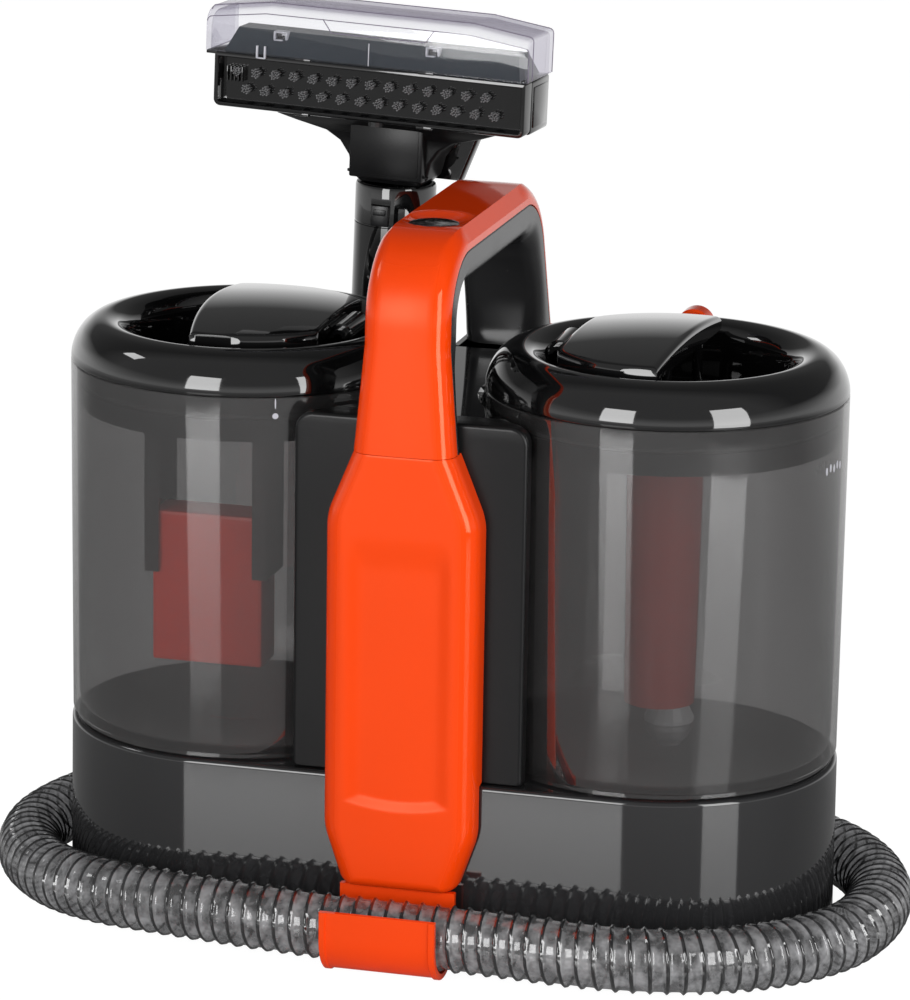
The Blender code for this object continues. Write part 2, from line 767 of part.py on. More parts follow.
def rear_cover():
    """Spine behind the tower, which carries the handle's rear leg, with exhaust louvres."""
    front = TOWER_BACK + SEAT
    sections = []
    heights = [BASE_TOP + SEAT, 0.1200, 0.1750, TOWER_TOP]
    for z in heights:
        share = (z - heights[0]) / (heights[-1] - heights[0])
        half = rear_half_width(z)
        back = 0.0860 + (HANDLE_REAR_FOOT_Y - 0.0860) * share
        corner = 0.0040
        inner = half - WALL
        plan = [
            (half, front), (half, back - corner), (half - 0.3 * corner, back - 0.3 * corner), (half - corner, back),
            (corner - half, back), (0.3 * corner - half, back - 0.3 * corner), (-half, back - corner), (-half, front),
            (-inner, front), (-inner, back - corner), (corner - half, back - WALL),
            (half - corner, back - WALL), (inner, back - corner), (inner, front),
        ]
        sections.append([(x, y, z) for x, y in plan])
    cover = loft("rear_cover", sections, black_gloss())
    slots = bmesh.new()
    for i in range(7):
        z = 0.1000 + 0.0085 * i
        add_box(slots, (-0.0180, TOWER_BACK + 0.004, z), (0.0180, 0.12, z + 0.0035))
    boolean(cover, "DIFFERENCE", finish("louvre_slots", slots, black_gloss()))
    return cover


def exhaust_filter():
    return box("exhaust_filter", (-0.0230, TOWER_BACK + 2 * SEAT, 0.0950), (0.0230, TOWER_BACK + 0.0075, 0.1620),
               rubber(), 0.0010)


# --- hose clip, port and gland ------------------------------------------------------------
def hose_clip():
    """Open-topped trough that holds the hose under the front cover."""
    bore = HOSE_DIAMETER / 2 + 2 * SEAT
    outer = bore + CLIP_WALL
    steps = 12
    centre_y = CLIP_LINE_Y
    centre_z = CLIP_HOSE_Z
    front_top = centre_z + 0.0118
    back_top = COVER_BOTTOM - SEAT
    def wall_line(radius, reach):
        line = [(centre_y - radius, front_top)]
        for i in range(steps + 1):
            angle = math.radians(180.0 + 180.0 * i / steps)
            line.append((centre_y + radius * math.cos(angle), centre_z + radius * math.sin(angle)))
        line.append((centre_y + radius, reach))
        return line
    profile = wall_line(outer, back_top) + list(reversed(wall_line(bore, back_top)))
    half = CLIP_WIDTH / 2
    sections = [[(x, y, z) for y, z in profile] for x in (-half, half)]
    clip = loft("hose_clip", sections, orange(), 50.0)
    return clip


def hose_port():
    """Elbow on the base: the hose end faces along the back, the neck goes into the base."""
    mouth = PORT_X - 0.0140
    bm = bmesh.new()
    add_bar(bm, (mouth, PORT_LINE_Y, PORT_Z), (PORT_X + 0.0120, PORT_LINE_Y, PORT_Z), CUFF_RADIUS, 20)
    port = finish("hose_port", bm, black_gloss())
    join_bar(port, (PORT_X, PORT_LINE_Y, PORT_Z), (PORT_X, TANK_RADIUS - 0.0040, PORT_Z), PORT_NECK)
    return port


PORT_LINE_Y = 0.0975


def cord_gland():
    """Ring that the mains lead would pass through."""
    outside = bmesh.new()
    add_bar(outside, (GLAND_X, TANK_RADIUS - 0.0035, GLAND_Z), (GLAND_X, TANK_RADIUS + 0.0060, GLAND_Z),
            GLAND_RADIUS - SEAT)
    gland = finish("cord_gland", outside, rubber())
    join_bar(gland, (GLAND_X, TANK_RADIUS + 0.0010, GLAND_Z), (GLAND_X, TANK_RADIUS + 0.0060, GLAND_Z), 0.0085)
    cut_bar(gland, (GLAND_X, TANK_RADIUS - 0.01, GLAND_Z), (GLAND_X, TANK_RADIUS + 0.01, GLAND_Z), 0.0036)
    return gland


# --- works inside the base and tower ------------------------------------------------------
PLATE_TOP = BASE_BOTTOM + PLATE_THICKNESS
DECK_UNDERSIDE = BASE_TOP - DECK
FAN_TOP = DECK_UNDERSIDE - SEAT
MOTOR_TOP = 0.0460
SOCKET_BOTTOM = 0.0595


def suction_motor():
    seat = PLATE_TOP + SEAT
    top = MOTOR_TOP
    bore = SHAFT_RADIUS + SHAFT_CLEARANCE
    profile = [
        (0.0, top - 0.0100),
        (bore, top - 0.0100),
        (bore, top),
        (FAN_HOUSING_RADIUS, top),
        (FAN_HOUSING_RADIUS, top - 0.0030),
        (MOTOR_RADIUS, top - 0.0030),
        (MOTOR_RADIUS, seat + 0.0060),
        (MOTOR_RADIUS - 0.0040, seat),
        (0.0, seat),
    ]
    return lathe("suction_motor", profile, steel(), Vector((0, 0, 0)), 20)


def fan_housing():
    bottom = MOTOR_TOP + SEAT
    eye = AIR_DUCT_HALF
    profile = [
        (eye, FAN_TOP),
        (eye, FAN_TOP - FINE_WALL),
        (FAN_HOUSING_RADIUS - FINE_WALL, FAN_TOP - FINE_WALL),
        (FAN_HOUSING_RADIUS - FINE_WALL, bottom),
        (FAN_HOUSING_RADIUS, bottom),
        (FAN_HOUSING_RADIUS, FAN_TOP),
    ]
    housing = lathe("fan_housing", profile, satin_grey(), Vector((0, 0, 0)), 28)
    cut_box(housing, (-0.0120, -0.0600, bottom + 0.0040), (0.0120, -0.0400, FAN_TOP - 0.0060))
    return housing


def fan_impeller():
    """Backward-curved blades on a disc, with the shaft that runs down into the motor."""
    low = MOTOR_TOP + 0.0040
    disc_top = low + 0.0018
    blade_top = FAN_TOP - FINE_WALL - 0.0025
    profile = [
        (0.0, blade_top),
        (0.0085, blade_top - 0.0040),
        (0.0105, disc_top),
        (FAN_RADIUS, disc_top),
        (FAN_RADIUS, low),
        (0.0080, low),
        (SHAFT_RADIUS, MOTOR_TOP + SEAT),
        (SHAFT_RADIUS, MOTOR_TOP - 0.0090),
        (0.0, MOTOR_TOP - 0.0090),
    ]
    fan = lathe("fan_impeller", profile, steel(), Vector((0, 0, 0)), 24)
    blades = bmesh.new()
    for i in range(FAN_BLADES):
        add_blade(blades, 2 * math.pi * i / FAN_BLADES, disc_top - 0.0005, blade_top)
    boolean(fan, "UNION", finish("fan_blades", blades, steel()))
    return place_at(fan, 0, 0, low)


def add_blade(bm, turn, low, high):
    """One blade that sweeps back from the hub to the rim."""
    inner, outer, sweep, thick = 0.0150, FAN_RADIUS - 0.0015, 0.9, 0.0010
    front = []
    back = []
    for i in range(5):
        share = i / 4
        radius = inner + (outer - inner) * share
        angle = turn - sweep * share * share
        lean = thick / radius / 2
        front.append((radius * math.cos(angle + lean), radius * math.sin(angle + lean)))
        back.append((radius * math.cos(angle - lean), radius * math.sin(angle - lean)))
    plan = front + list(reversed(back))
    add_loft(bm, [[(x, y, z) for x, y in plan] for z in (low, high)])


def water_pump():
    """Diaphragm pump lying on the bottom plate under the clean-water tank."""
    seat = PLATE_TOP + SEAT
    radius = 0.0150
    z = seat + radius
    pump = bar("water_pump", (0.0800, -0.0250, z), (0.1200, -0.0250, z), radius, satin_grey(), 20)
    join_box(pump, (0.1195, -0.0400, seat), (0.1370, -0.0100, seat + 0.0280), 0.0010)
    join_box(pump, (0.0850, -0.0370, seat), (0.1100, -0.0130, seat + 0.0100))
    join_bar(pump, (0.1280, -0.0180, seat + 0.0270), (0.1280, -0.0180, seat + 0.0360), 0.0030, 12)
    join_bar(pump, (0.1300, -0.0120, seat + 0.0100), (0.1300, -0.0059, seat + 0.0100), 0.0030, 12)
    return pump


def pump_hoses():
    seat = PLATE_TOP + SEAT
    tube_curve("pump_inlet_hose",
               [(0.1280, -0.0180, seat + 0.0363), (0.1280, -0.0180, seat + 0.0403), (0.1240, -0.0110, 0.0510),
                (0.1130, 0.0050, 0.0480), (0.0990, 0.0190, 0.0420), (0.0905, 0.0268, 0.0440),
                (VALVE_X, VALVE_Y, SOCKET_BOTTOM - 0.0105), (VALVE_X, VALVE_Y, SOCKET_BOTTOM - 0.0063)],
               0.0030, rubber(), 0.0040)
    tube_curve("pump_outlet_hose",
               [(0.1300, -0.0056, seat + 0.0100), (0.1300, 0.0100, seat + 0.0100), (0.1220, 0.0320, 0.0165),
                (0.0900, 0.0520, 0.0160), (0.0400, 0.0590, 0.0160), (-0.0050, 0.0580, 0.0165),
                (-0.0400, 0.0530, PORT_Z), (PORT_X, 0.0600, PORT_Z),
                (PORT_X, TANK_RADIUS - 0.0040 - 2 * SEAT, PORT_Z)],
               0.0026, rubber(), 0.0080)


def valve_socket():
    """Cup under the deck that takes the valve's water, with a post and an outlet stub."""
    top = DECK_UNDERSIDE - SEAT
    radius = VALVE_RADIUS
    profile = [
        (0.0, SOCKET_BOTTOM - 0.0060),
        (0.0030, SOCKET_BOTTOM - 0.0060),
        (0.0030, SOCKET_BOTTOM),
        (radius + FINE_WALL, SOCKET_BOTTOM),
        (radius + FINE_WALL, top),
        (radius, top),
        (radius, SOCKET_BOTTOM + WALL),
        (VALVE_POST, SOCKET_BOTTOM + WALL),
        (VALVE_POST, BASE_TOP + VALVE_POST_RISE),
        (0.0, BASE_TOP + VALVE_POST_RISE),
    ]
    return lathe("valve_socket", profile, satin_grey(), Vector((VALVE_X, VALVE_Y, 0)), SMALL_STEPS)


def duct(name, x, y, half_x, half_y, look):
    """Upright duct from the deck to under the tower's top."""
    bottom = BASE_TOP + SEAT
    top = TOWER_TOP - WALL - SEAT
    outline = rounded([(-half_x, -half_y), (half_x, -half_y), (half_x, half_y), (-half_x, half_y)], 0.003, 2)
    inner_x = half_x - FINE_WALL
    inner_y = half_y - FINE_WALL
    bore = rounded([(-inner_x, -inner_y), (inner_x, -inner_y), (inner_x, inner_y), (-inner_x, inner_y)], 0.0015, 2)
    bm = bmesh.new()
    rings = []
    for plan, z in ((outline, bottom), (outline, top), (bore, top), (bore, bottom)):
        rings.append(ring_of(bm, [(x + p.x, y + p.y, z) for p in plan]))
    for first, second in zip(rings, rings[1:] + rings[:1]):
        bridge(bm, first, second)
    return finish(name, bm, look)


def control_board():
    """Board on two bosses of the bottom plate, under the recovery tank."""
    seat = PLATE_TOP + SEAT
    board = box("control_board", (-0.1150, -0.0200, seat + 0.0060), (-0.0700, 0.0150, seat + 0.0076), board_green())
    join_box(board, (-0.1100, -0.0150, seat), (-0.1060, 0.0100, seat + 0.0065))
    join_box(board, (-0.0790, -0.0150, seat), (-0.0750, 0.0100, seat + 0.0065))
    join_box(board, (-0.1020, -0.0120, seat + 0.0070), (-0.0860, 0.0080, seat + 0.0200), 0.0008)
    return board


# --- tanks --------------------------------------------------------------------------------
def tank(name, axis):
    """Open-topped tank with a slightly tapered wall and a set-in foot."""
    inner_top = TANK_RADIUS - TANK_WALL
    inner_foot = inner_top - 0.0006
    floor = TANK_BOTTOM + TANK_FLOOR
    profile = [
        (0.0, TANK_BOTTOM),
        (TANK_RADIUS - TANK_FOOT_INSET, TANK_BOTTOM),
        (TANK_RADIUS - TANK_FOOT_INSET, TANK_BOTTOM + TANK_FOOT_HEIGHT),
        (TANK_RADIUS - 0.0005, TANK_BOTTOM + TANK_FOOT_HEIGHT + 0.0006),
        (TANK_RADIUS, TANK_TOP),
        (inner_top, TANK_TOP),
        (inner_foot, floor + 0.0030),
        (inner_foot - 0.0030, floor),
        (0.0, floor),
    ]
    return lathe(name, profile, smoked_clear(), axis, ROUND_STEPS + 4)


def lid_profile():
    """The rolled ring, the bowl inside it and the skirt that goes down into the tank."""
    rim = LID_BOTTOM
    top = rim + LID_RING_HEIGHT
    crown = LID_CROWN_RADIUS
    skirt = TANK_RADIUS - TANK_WALL - LID_SKIRT_CLEARANCE
    bowl = rim - BOWL_DEPTH
    groove = rim - SEAL_DEPTH
    return [
        (TANK_RADIUS, rim),
        (TANK_RADIUS - 0.0003, rim + 0.0039),
        (TANK_RADIUS - 0.0018, rim + 0.0085),
        (TANK_RADIUS - 0.0048, rim + 0.0130),
        (TANK_RADIUS - 0.0092, rim + 0.0163),
        (crown, top),
        (crown - 0.0050, top - 0.0014),
        (crown - 0.0083, top - 0.0046),
        (crown - 0.0100, top - 0.0092),
        (crown - 0.0110, rim + 0.0020),
        (crown - 0.0122, bowl + 0.0024),
        (crown - 0.0145, bowl),
        (0.0, bowl),
        (0.0, bowl - WALL),
        (crown - 0.0135, bowl - WALL + 0.0002),
        (crown - 0.0098, bowl + 0.0010),
        (crown - 0.0086, rim + 0.0020),
        (crown - 0.0077, top - 0.0085),
        (crown - 0.0062, top - 0.0058),
        (crown - 0.0036, top - 0.0036),
        (crown, top - 0.0026),
        (TANK_RADIUS - 0.0105, rim + 0.0136),
        (TANK_RADIUS - 0.0071, rim + 0.0112),
        (skirt - 0.0022, rim + 0.0085),
        (skirt - 0.0022, rim - LID_SKIRT_DEPTH),
        (skirt, rim - LID_SKIRT_DEPTH),
        (skirt, groove),
        (skirt - 0.0008, groove),
        (skirt - 0.0008, groove + SEAL_HEIGHT + 2 * SEAT),
        (skirt, groove + SEAL_HEIGHT + 2 * SEAT),
        (skirt, rim),
    ]


def lid(name, axis, inboard):
    """inboard is +1 where the tower is on the tank's +X side."""
    made = lathe(name, lid_profile(), black_gloss(), axis)
    hinge_x = axis.x + inboard * HINGE_OFFSET
    hinge_z = hinge_height()
    lug_low = LID_BOTTOM - BOWL_DEPTH - 0.0008
    for side in (-1, 1):
        near = side * (BARREL_LENGTH / 2 + SEAT)
        far = side * (BARREL_LENGTH / 2 + 0.0040)
        low = (hinge_x - LUG_RADIUS, min(near, far), lug_low)
        high = (hinge_x + LUG_RADIUS, max(near, far), hinge_z)
        join_box(made, low, high)
        join_bar(made, (hinge_x, near, hinge_z), (hinge_x, far, hinge_z), LUG_RADIUS, 16)
        post_x = axis.x - inboard * POST_OFFSET
        post_y = side * 0.0300
        join_bar(made, (post_x, post_y, lug_low), (post_x, post_y, LID_BOTTOM + GRIP_UNDERSIDE - SEAT), 0.0022, 10)
    reach = BARREL_LENGTH / 2 + 0.0060
    cut_bar(made, (hinge_x, -reach, hinge_z), (hinge_x, reach, hinge_z), PIN_RADIUS + SEAT, 12)
    return made


def hinge_height():
    return LID_BOTTOM + GRIP_UNDERSIDE - 0.0005


def lid_seal(name, axis):
    skirt = TANK_RADIUS - TANK_WALL - LID_SKIRT_CLEARANCE
    low = LID_BOTTOM - SEAL_DEPTH + SEAT
    profile = [
        (skirt - 0.0008 + SEAT, low),
        (skirt + LID_SKIRT_CLEARANCE - SEAT, low + 0.0006),
        (skirt + LID_SKIRT_CLEARANCE - SEAT, low + SEAL_HEIGHT - 0.0006),
        (skirt - 0.0008 + SEAT, low + SEAL_HEIGHT),
    ]
    return lathe(name, profile, rubber(), axis)


def grip_outline(front, back, bulge):
    """Plan of a grip as (outboard, y): a disc cut by the hinge line and by its outboard edge."""
    radius = GRIP_RADIUS
    hinge = math.acos(-GRIP_INBOARD / radius)
    near = Vector((front, -math.sqrt(radius ** 2 - front ** 2)))
    far = Vector((back, math.sqrt(radius ** 2 - back ** 2)))
    outline = []
    for i in range(8):
        angle = hinge + (math.acos(front / radius) - hinge) * i / 8
        outline.append(Vector((radius * math.cos(angle), -radius * math.sin(angle))))
    for i in range(6):
        share = i / 6
        edge = near.lerp(far, share)
        outline.append(Vector((edge.x + 4 * bulge * share * (1 - share), edge.y)))
    for i in range(9):
        angle = math.acos(back / radius) + (hinge - math.acos(back / radius)) * i / 8
        outline.append(Vector((radius * math.cos(angle), radius * math.sin(angle))))
    return outline


def lid_grip(name, axis, inboard, edge):
    """Crowned carry plate over the bowl, hinged at its inboard end."""
    low = LID_BOTTOM + GRIP_UNDERSIDE
    outline = [Vector((-inboard * p.x, p.y)) for p in grip_outline(*edge)]

    def level(scale, z, crown):
        ring = []
        for p in outline:
            x = axis.x + p.x * scale
            y = p.y * scale
            away = (p.length * scale / GRIP_RADIUS) ** 2
            ring.append((x, y, z + crown * (1 - away)))
        return ring
    sections = [
        level(0.97, low, 0.0),
        level(1.00, low + 0.0010, 0.0),
        level(1.00, low + GRIP_EDGE - 0.0012, 0.0),
        level(0.975, low + GRIP_EDGE, 0.0002),
        level(0.70, low + GRIP_EDGE, GRIP_CROWN),
        level(0.35, low + GRIP_EDGE, GRIP_CROWN),
    ]
    grip = loft(name, sections, black_gloss(), 30.0)
    hinge_x = axis.x + inboard * HINGE_OFFSET
    z = hinge_height()
    half = BARREL_LENGTH / 2
    join_bar(grip, (hinge_x, -half, z), (hinge_x, half, z), BARREL_RADIUS)
    cut_bar(grip, (hinge_x, -half - 0.01, z), (hinge_x, half + 0.01, z), PIN_RADIUS + PIN_CLEARANCE, 12)
    return place_at(grip, hinge_x, 0, z)


def grip_pin(name, axis, inboard):
    hinge_x = axis.x + inboard * HINGE_OFFSET
    z = hinge_height()
    reach = BARREL_LENGTH / 2 + 0.0040
    return bar(name, (hinge_x, -reach, z), (hinge_x, reach, z), PIN_RADIUS, steel(), 12)


# --- recovery tank works ------------------------------------------------------------------
def float_cage():
    """Two channel rails under the bowl that guide the float."""
    x = LEFT_AXIS.x + FLOAT_SHIFT_X
    y = FLOAT_SHIFT_Y
    top = LID_BOTTOM - BOWL_DEPTH - WALL - SEAT
    half = FLOAT_WIDTH / 2
    inner = half + FLOAT_CLEARANCE
    deep = FLOAT_DEPTH / 2 + FLOAT_CLEARANCE
    cage = box("float_cage", (x - inner - RAIL_WALL, y - deep - RAIL_WALL, top - 0.0030),
               (x + inner + RAIL_WALL, y + deep + RAIL_WALL, top), black_gloss())
    for side in (-1, 1):
        wall = side * (inner + RAIL_WALL)
        lip = side * (inner - RAIL_LIP)
        low = (x + min(wall, lip), y - deep - RAIL_WALL, RAIL_BOTTOM)
        high = (x + max(wall, lip), y + deep + RAIL_WALL, top - 0.0010)
        join_box(cage, low, high)
    cut_box(cage, (x - inner, y - deep, RAIL_BOTTOM - 0.01), (x + inner, y + deep, top - 0.0030))
    return cage


def float_block():
    x = LEFT_AXIS.x + FLOAT_SHIFT_X
    y = FLOAT_SHIFT_Y
    half = FLOAT_WIDTH / 2
    low = (x - half, y - FLOAT_DEPTH / 2, FLOAT_BOTTOM)
    high = (x + half, y + FLOAT_DEPTH / 2, FLOAT_BOTTOM + FLOAT_HEIGHT)
    made = box("float", low, high, red_plastic(), 0.0015)
    return place_at(made, x, y, FLOAT_BOTTOM + FLOAT_HEIGHT / 2)


# --- clean-water tank works ---------------------------------------------------------------
def filler_neck():
    """Ringed neck under the bowl."""
    top = LID_BOTTOM - BOWL_DEPTH - WALL - SEAT
    profile = [(0.0, top), (NECK_RADIUS, top)]
    ring = NECK_LENGTH / 4
    for i in range(4):
        z = top - ring * i
        radius = NECK_RADIUS - 0.0006 * i
        profile += [(radius, z - 0.55 * ring), (radius - 0.0014, z - 0.70 * ring), (radius - 0.0014, z - ring)]
    profile.append((0.0, top - NECK_LENGTH))
    return lathe("filler_neck", profile, black_gloss(), RIGHT_AXIS, 18)


def dosing_tube():
    top = LID_BOTTOM - BOWL_DEPTH - WALL - SEAT - NECK_LENGTH - SEAT
    profile = [
        (DOSING_RADIUS - 0.0016, top),
        (DOSING_RADIUS - 0.0026, DOSING_BOTTOM),
        (DOSING_RADIUS - 0.0012, DOSING_BOTTOM),
        (DOSING_RADIUS, top),
    ]
    return lathe("dosing_tube", profile, red_plastic(), RIGHT_AXIS, 24)


def tank_valve():
    """Valve body in the clean-water tank's floor, its sprung plunger and the spring.

    The base's post lifts the plunger's disc off its seat; the spring would push it down again.
    """
    floor = TANK_BOTTOM + TANK_FLOOR
    axis = Vector((VALVE_X, VALVE_Y, 0))
    outer = VALVE_RADIUS - SEAT
    hollow = VALVE_RADIUS - 0.0020
    roof = TANK_BOTTOM + VALVE_ROOF
    bore = 0.0036
    top = roof + 0.0020
    body = [
        (bore, top),
        (bore, roof),
        (hollow, roof),
        (hollow, TANK_BOTTOM + SEAT),
        (outer, TANK_BOTTOM + SEAT),
        (outer, floor + SEAT),
        (outer + 0.0020, floor + SEAT),
        (outer + 0.0020, floor + 0.0020),
        (outer - 0.0010, top),
    ]
    lathe("valve_body", body, satin_grey(), axis, SMALL_STEPS)
    foot = BASE_TOP + VALVE_POST_RISE + SEAT
    disc = top + VALVE_POST_RISE
    stem = [
        (0.0, foot),
        (0.0050, foot),
        (0.0050, foot + 0.0010),
        (0.0012, foot + 0.0014),
        (0.0012, disc),
        (0.0052, disc),
        (0.0052, disc + 0.0012),
        (0.0, disc + 0.0016),
    ]
    plunger = lathe("valve_plunger", stem, steel(), axis, 12)
    place_at(plunger, VALVE_X, VALVE_Y, foot)
    route = []
    turns = 3
    bottom = foot + 0.0018
    height = roof - 2 * SEAT - bottom
    for i in range(turns * 10 + 1):
        angle = 2 * math.pi * i / 10
        route.append((VALVE_X + 0.0034 * math.cos(angle), VALVE_Y + 0.0034 * math.sin(angle),
                      bottom + height * i / (turns * 10)))
    data = bpy.data.curves.new("valve_spring", "CURVE")
    data.dimensions = "3D"
    data.bevel_depth = 0.0003
    data.bevel_resolution = 0
    data.use_fill_caps = True
    spline = data.splines.new("POLY")
    spline.points.add(len(route) - 1)
    for spot, point in zip(spline.points, route):
        spot.co = (*point, 1.0)
    data.materials.append(steel())
    spring = bpy.data.objects.new("valve_spring", data)
    bpy.context.scene.collection.objects.link(spring)


def lid_latch():
    """Orange tab behind the clean-water lid's ring, pressed in to free the lid."""
    face = (LID_LATCH_X, LID_LATCH_Y, LID_LATCH_Z)
    tab = bar("lid_latch", face, (LID_LATCH_X, LID_LATCH_Y + LID_LATCH_LENGTH, LID_LATCH_Z), LID_LATCH_RADIUS,
              orange(), 20)
    cut_bar(bpy.data.objects["clean_lid"], (LID_LATCH_X, LID_LATCH_Y - LID_LATCH_TRAVEL - SEAT, LID_LATCH_Z),
            (LID_LATCH_X, LID_LATCH_Y + 0.05, LID_LATCH_Z), LID_LATCH_RADIUS + SEAT, 20)
    return place_at(tab, *face)


# --- hand tool ----------------------------------------------------------------------------
CUFF_BOTTOM = TUBE_BOTTOM - SEAT - CUFF_LENGTH


def lean():
    """The docked tool's lean about the foot of its cuff."""
    pivot = Matrix.Translation((TOOL_X, TOOL_Y, CUFF_BOTTOM))
    return pivot @ Matrix.Rotation(TOOL_LEAN, 4, "Y") @ pivot.inverted()


def lean_tool():
    pieces = ["tool_tube", "tool_neck", "tool_head", "brush_plate", "ramp_plate", "clear_cover", "spray_housing",
              "spray_trigger", "trigger_pin", "head_latch", "spray_nozzle", "tool_cuff"]
    for name in pieces:
        obj = bpy.data.objects[name]
        for mover in [obj] + [change.object for change in obj.modifiers if change.type == "BOOLEAN"]:
            mover.matrix_basis = lean() @ mover.matrix_basis


def turned(obj):
    """Turns a piece of the hand tool by the tool's yaw about its tube."""
    pivot = Matrix.Translation((TOOL_X, TOOL_Y, 0))
    obj.data.transform(pivot @ Matrix.Rotation(TOOL_YAW, 4, "Z") @ pivot.inverted())
    return obj


def tool_tube():
    """Hollow grip tube with a collar that stands on the dock, and lugs for the trigger's pin."""
    axis = Vector((TOOL_X, TOOL_Y, 0))
    collar = DOCK_TOP + SEAT
    profile = [
        (TOOL_RADIUS - TUBE_WALL, TUBE_TOP),
        (TOOL_RADIUS - TUBE_WALL, TUBE_BOTTOM),
        (TOOL_RADIUS, TUBE_BOTTOM),
        (TOOL_RADIUS, collar),
        (TOOL_RADIUS + 0.0028, collar),
        (TOOL_RADIUS + 0.0028, collar + 0.0030),
        (TOOL_RADIUS, collar + 0.0060),
        (TOOL_RADIUS, TUBE_TOP - 0.0010),
        (TOOL_RADIUS - 0.0008, TUBE_TOP),
    ]
    tube = lathe("tool_tube", profile, black_gloss(), axis, 28)
    slot = TRIGGER_HALF_WIDTH + 2 * SEAT
    for side in (-1, 1):
        near = TOOL_X + side * slot
        far = TOOL_X + side * (slot + 0.0022)
        low = (min(near, far), TOOL_Y + 0.0140, TRIGGER_PIN_Z - 0.0030)
        join_box(tube, low, (max(near, far), TRIGGER_PIN_Y + 0.0022, TRIGGER_PIN_Z + 0.0030))
    cut_box(tube, (TOOL_X - slot, TOOL_Y + 0.0100, TRIGGER_PIN_Z - TRIGGER_LENGTH - 0.0020),
            (TOOL_X + slot, TOOL_Y + 0.0300, TRIGGER_PIN_Z + 0.0040))
    cut_bar(tube, (TOOL_X - 0.02, TRIGGER_PIN_Y, TRIGGER_PIN_Z), (TOOL_X + 0.02, TRIGGER_PIN_Y, TRIGGER_PIN_Z),
            TRIGGER_PIN_RADIUS + SEAT, 12)
    pocket = LATCH_WIDTH / 2 + SEAT
    cut_box(tube, (LATCH_X - pocket, TOOL_Y - 0.0300, LATCH_Z - LATCH_HEIGHT / 2 - SEAT),
            (LATCH_X + pocket, TOOL_Y - 0.0100, LATCH_Z + LATCH_HEIGHT / 2 + SEAT))
    return tube


def tool_neck():
    """Flared throat under the head, with a boxy front."""
    low = TUBE_TOP + SEAT
    top = HEAD_BOTTOM - SEAT
    levels = [
        (low, 0.0140, -0.0095, 0.0100),
        (low + 0.0030, 0.0172, -0.0105, 0.0110),
        (low + 0.0110, 0.0192, -0.0105, 0.0110),
        (top - 0.0150, 0.0235, -0.0105, 0.0110),
        (top - 0.0110, 0.0300, -0.0110, 0.0100),
        (top - 0.0075, 0.0425, -0.0140, 0.0080),
        (top - 0.0045, 0.0500, -0.0180, 0.0050),
        (top, 0.0510, -0.0220, 0.0020),
    ]
    sections = []
    for z, half, front, back in levels:
        plan = rounded([(-half, front), (half, front), (half, back), (-half, back)], 0.0020, 2)
        sections.append([(TOOL_X + p.x, TOOL_Y + p.y, z) for p in plan])
    neck = turned(loft("tool_neck", sections, black_gloss()))
    join_box(neck, (TOOL_X - 0.0168, TOOL_Y - 0.0150, low + 0.0025), (TOOL_X + 0.0168, TOOL_Y - 0.0060, top - 0.0020),
             0.0008)
    turned(neck.modifiers[0].object)
    return neck


def head_box(name, low_y, high_y, low_z, high_z, half, look, rounding):
    return turned(box(name, (TOOL_X - half, low_y, low_z), (TOOL_X + half, high_y, high_z), look, rounding))


HEAD_FRONT = TOOL_Y - HEAD_REACH
BRUSH_THICKNESS = 0.0080


def tool_head():
    """Nozzle body behind the brush plate and under the clear cover."""
    front = HEAD_FRONT + BRUSH_THICKNESS + SEAT
    back = HEAD_FRONT + HEAD_DEPTH
    return head_box("tool_head", front, back, HEAD_BOTTOM, HEAD_TOP, HEAD_WIDTH / 2, black_gloss(), 0.0015)


def brush_plate():
    """Tray with two staggered rows of tufts."""
    half = HEAD_WIDTH / 2
    front = HEAD_FRONT
    back = HEAD_FRONT + BRUSH_THICKNESS
    outline = rounded(
        [(-half, HEAD_BOTTOM), (half, HEAD_BOTTOM), (half, HEAD_TOP), (-half, HEAD_TOP)],
        [0.003, 0.003, 0.0008, 0.0008], 3)
    def ring(y, inset):
        across = 1 - inset / half
        middle = (HEAD_BOTTOM + HEAD_TOP) / 2
        up = 1 - 2 * inset / (HEAD_TOP - HEAD_BOTTOM)
        return [(TOOL_X + p.x * across, y, middle + (p.y - middle) * up) for p in outline]
    plate = cup("brush_plate",
                [ring(front, 0.0), ring(back, 0.0)],
                [ring(front, 0.0010), ring(front + 0.0045, 0.0014)], satin_grey())
    tufts = bmesh.new()
    for row in range(2):
        z = HEAD_BOTTOM + 0.0080 + 0.0075 * row
        shift = 0.25 * TUFT_PITCH * (1 if row == 0 else -1)
        for i in range(TUFTS_PER_ROW):
            x = TOOL_X + shift + (i - (TUFTS_PER_ROW - 1) / 2) * TUFT_PITCH - 0.002
            add_bar(tufts, (x, front + 0.0055, z), (x, front + 0.0055 - TUFT_LENGTH, z), TUFT_RADIUS, 8)
    boolean(plate, "UNION", finish("tufts", tufts, satin_grey()))
    turned(plate)
    turned(plate.modifiers[0].object)
    return plate


def ramp_plate():
    """Sloped plate under the clear cover, which guides the water to the throat."""
    half = HEAD_WIDTH / 2 - 0.0040
    low = HEAD_TOP + SEAT
    high = TOOL_COVER_TOP - 0.0060
    front = HEAD_FRONT + 0.0026
    sections = []
    for x in (-half, half):
        sections.append([(TOOL_X + x, front, low), (TOOL_X + x, HEAD_FRONT + HEAD_DEPTH - 0.0040, low),
                         (TOOL_X + x, HEAD_FRONT + HEAD_DEPTH - 0.0040, high),
                         (TOOL_X + x, HEAD_FRONT + HEAD_DEPTH - 0.0100, high)])
    return turned(loft("ramp_plate", sections, slate_blue()))


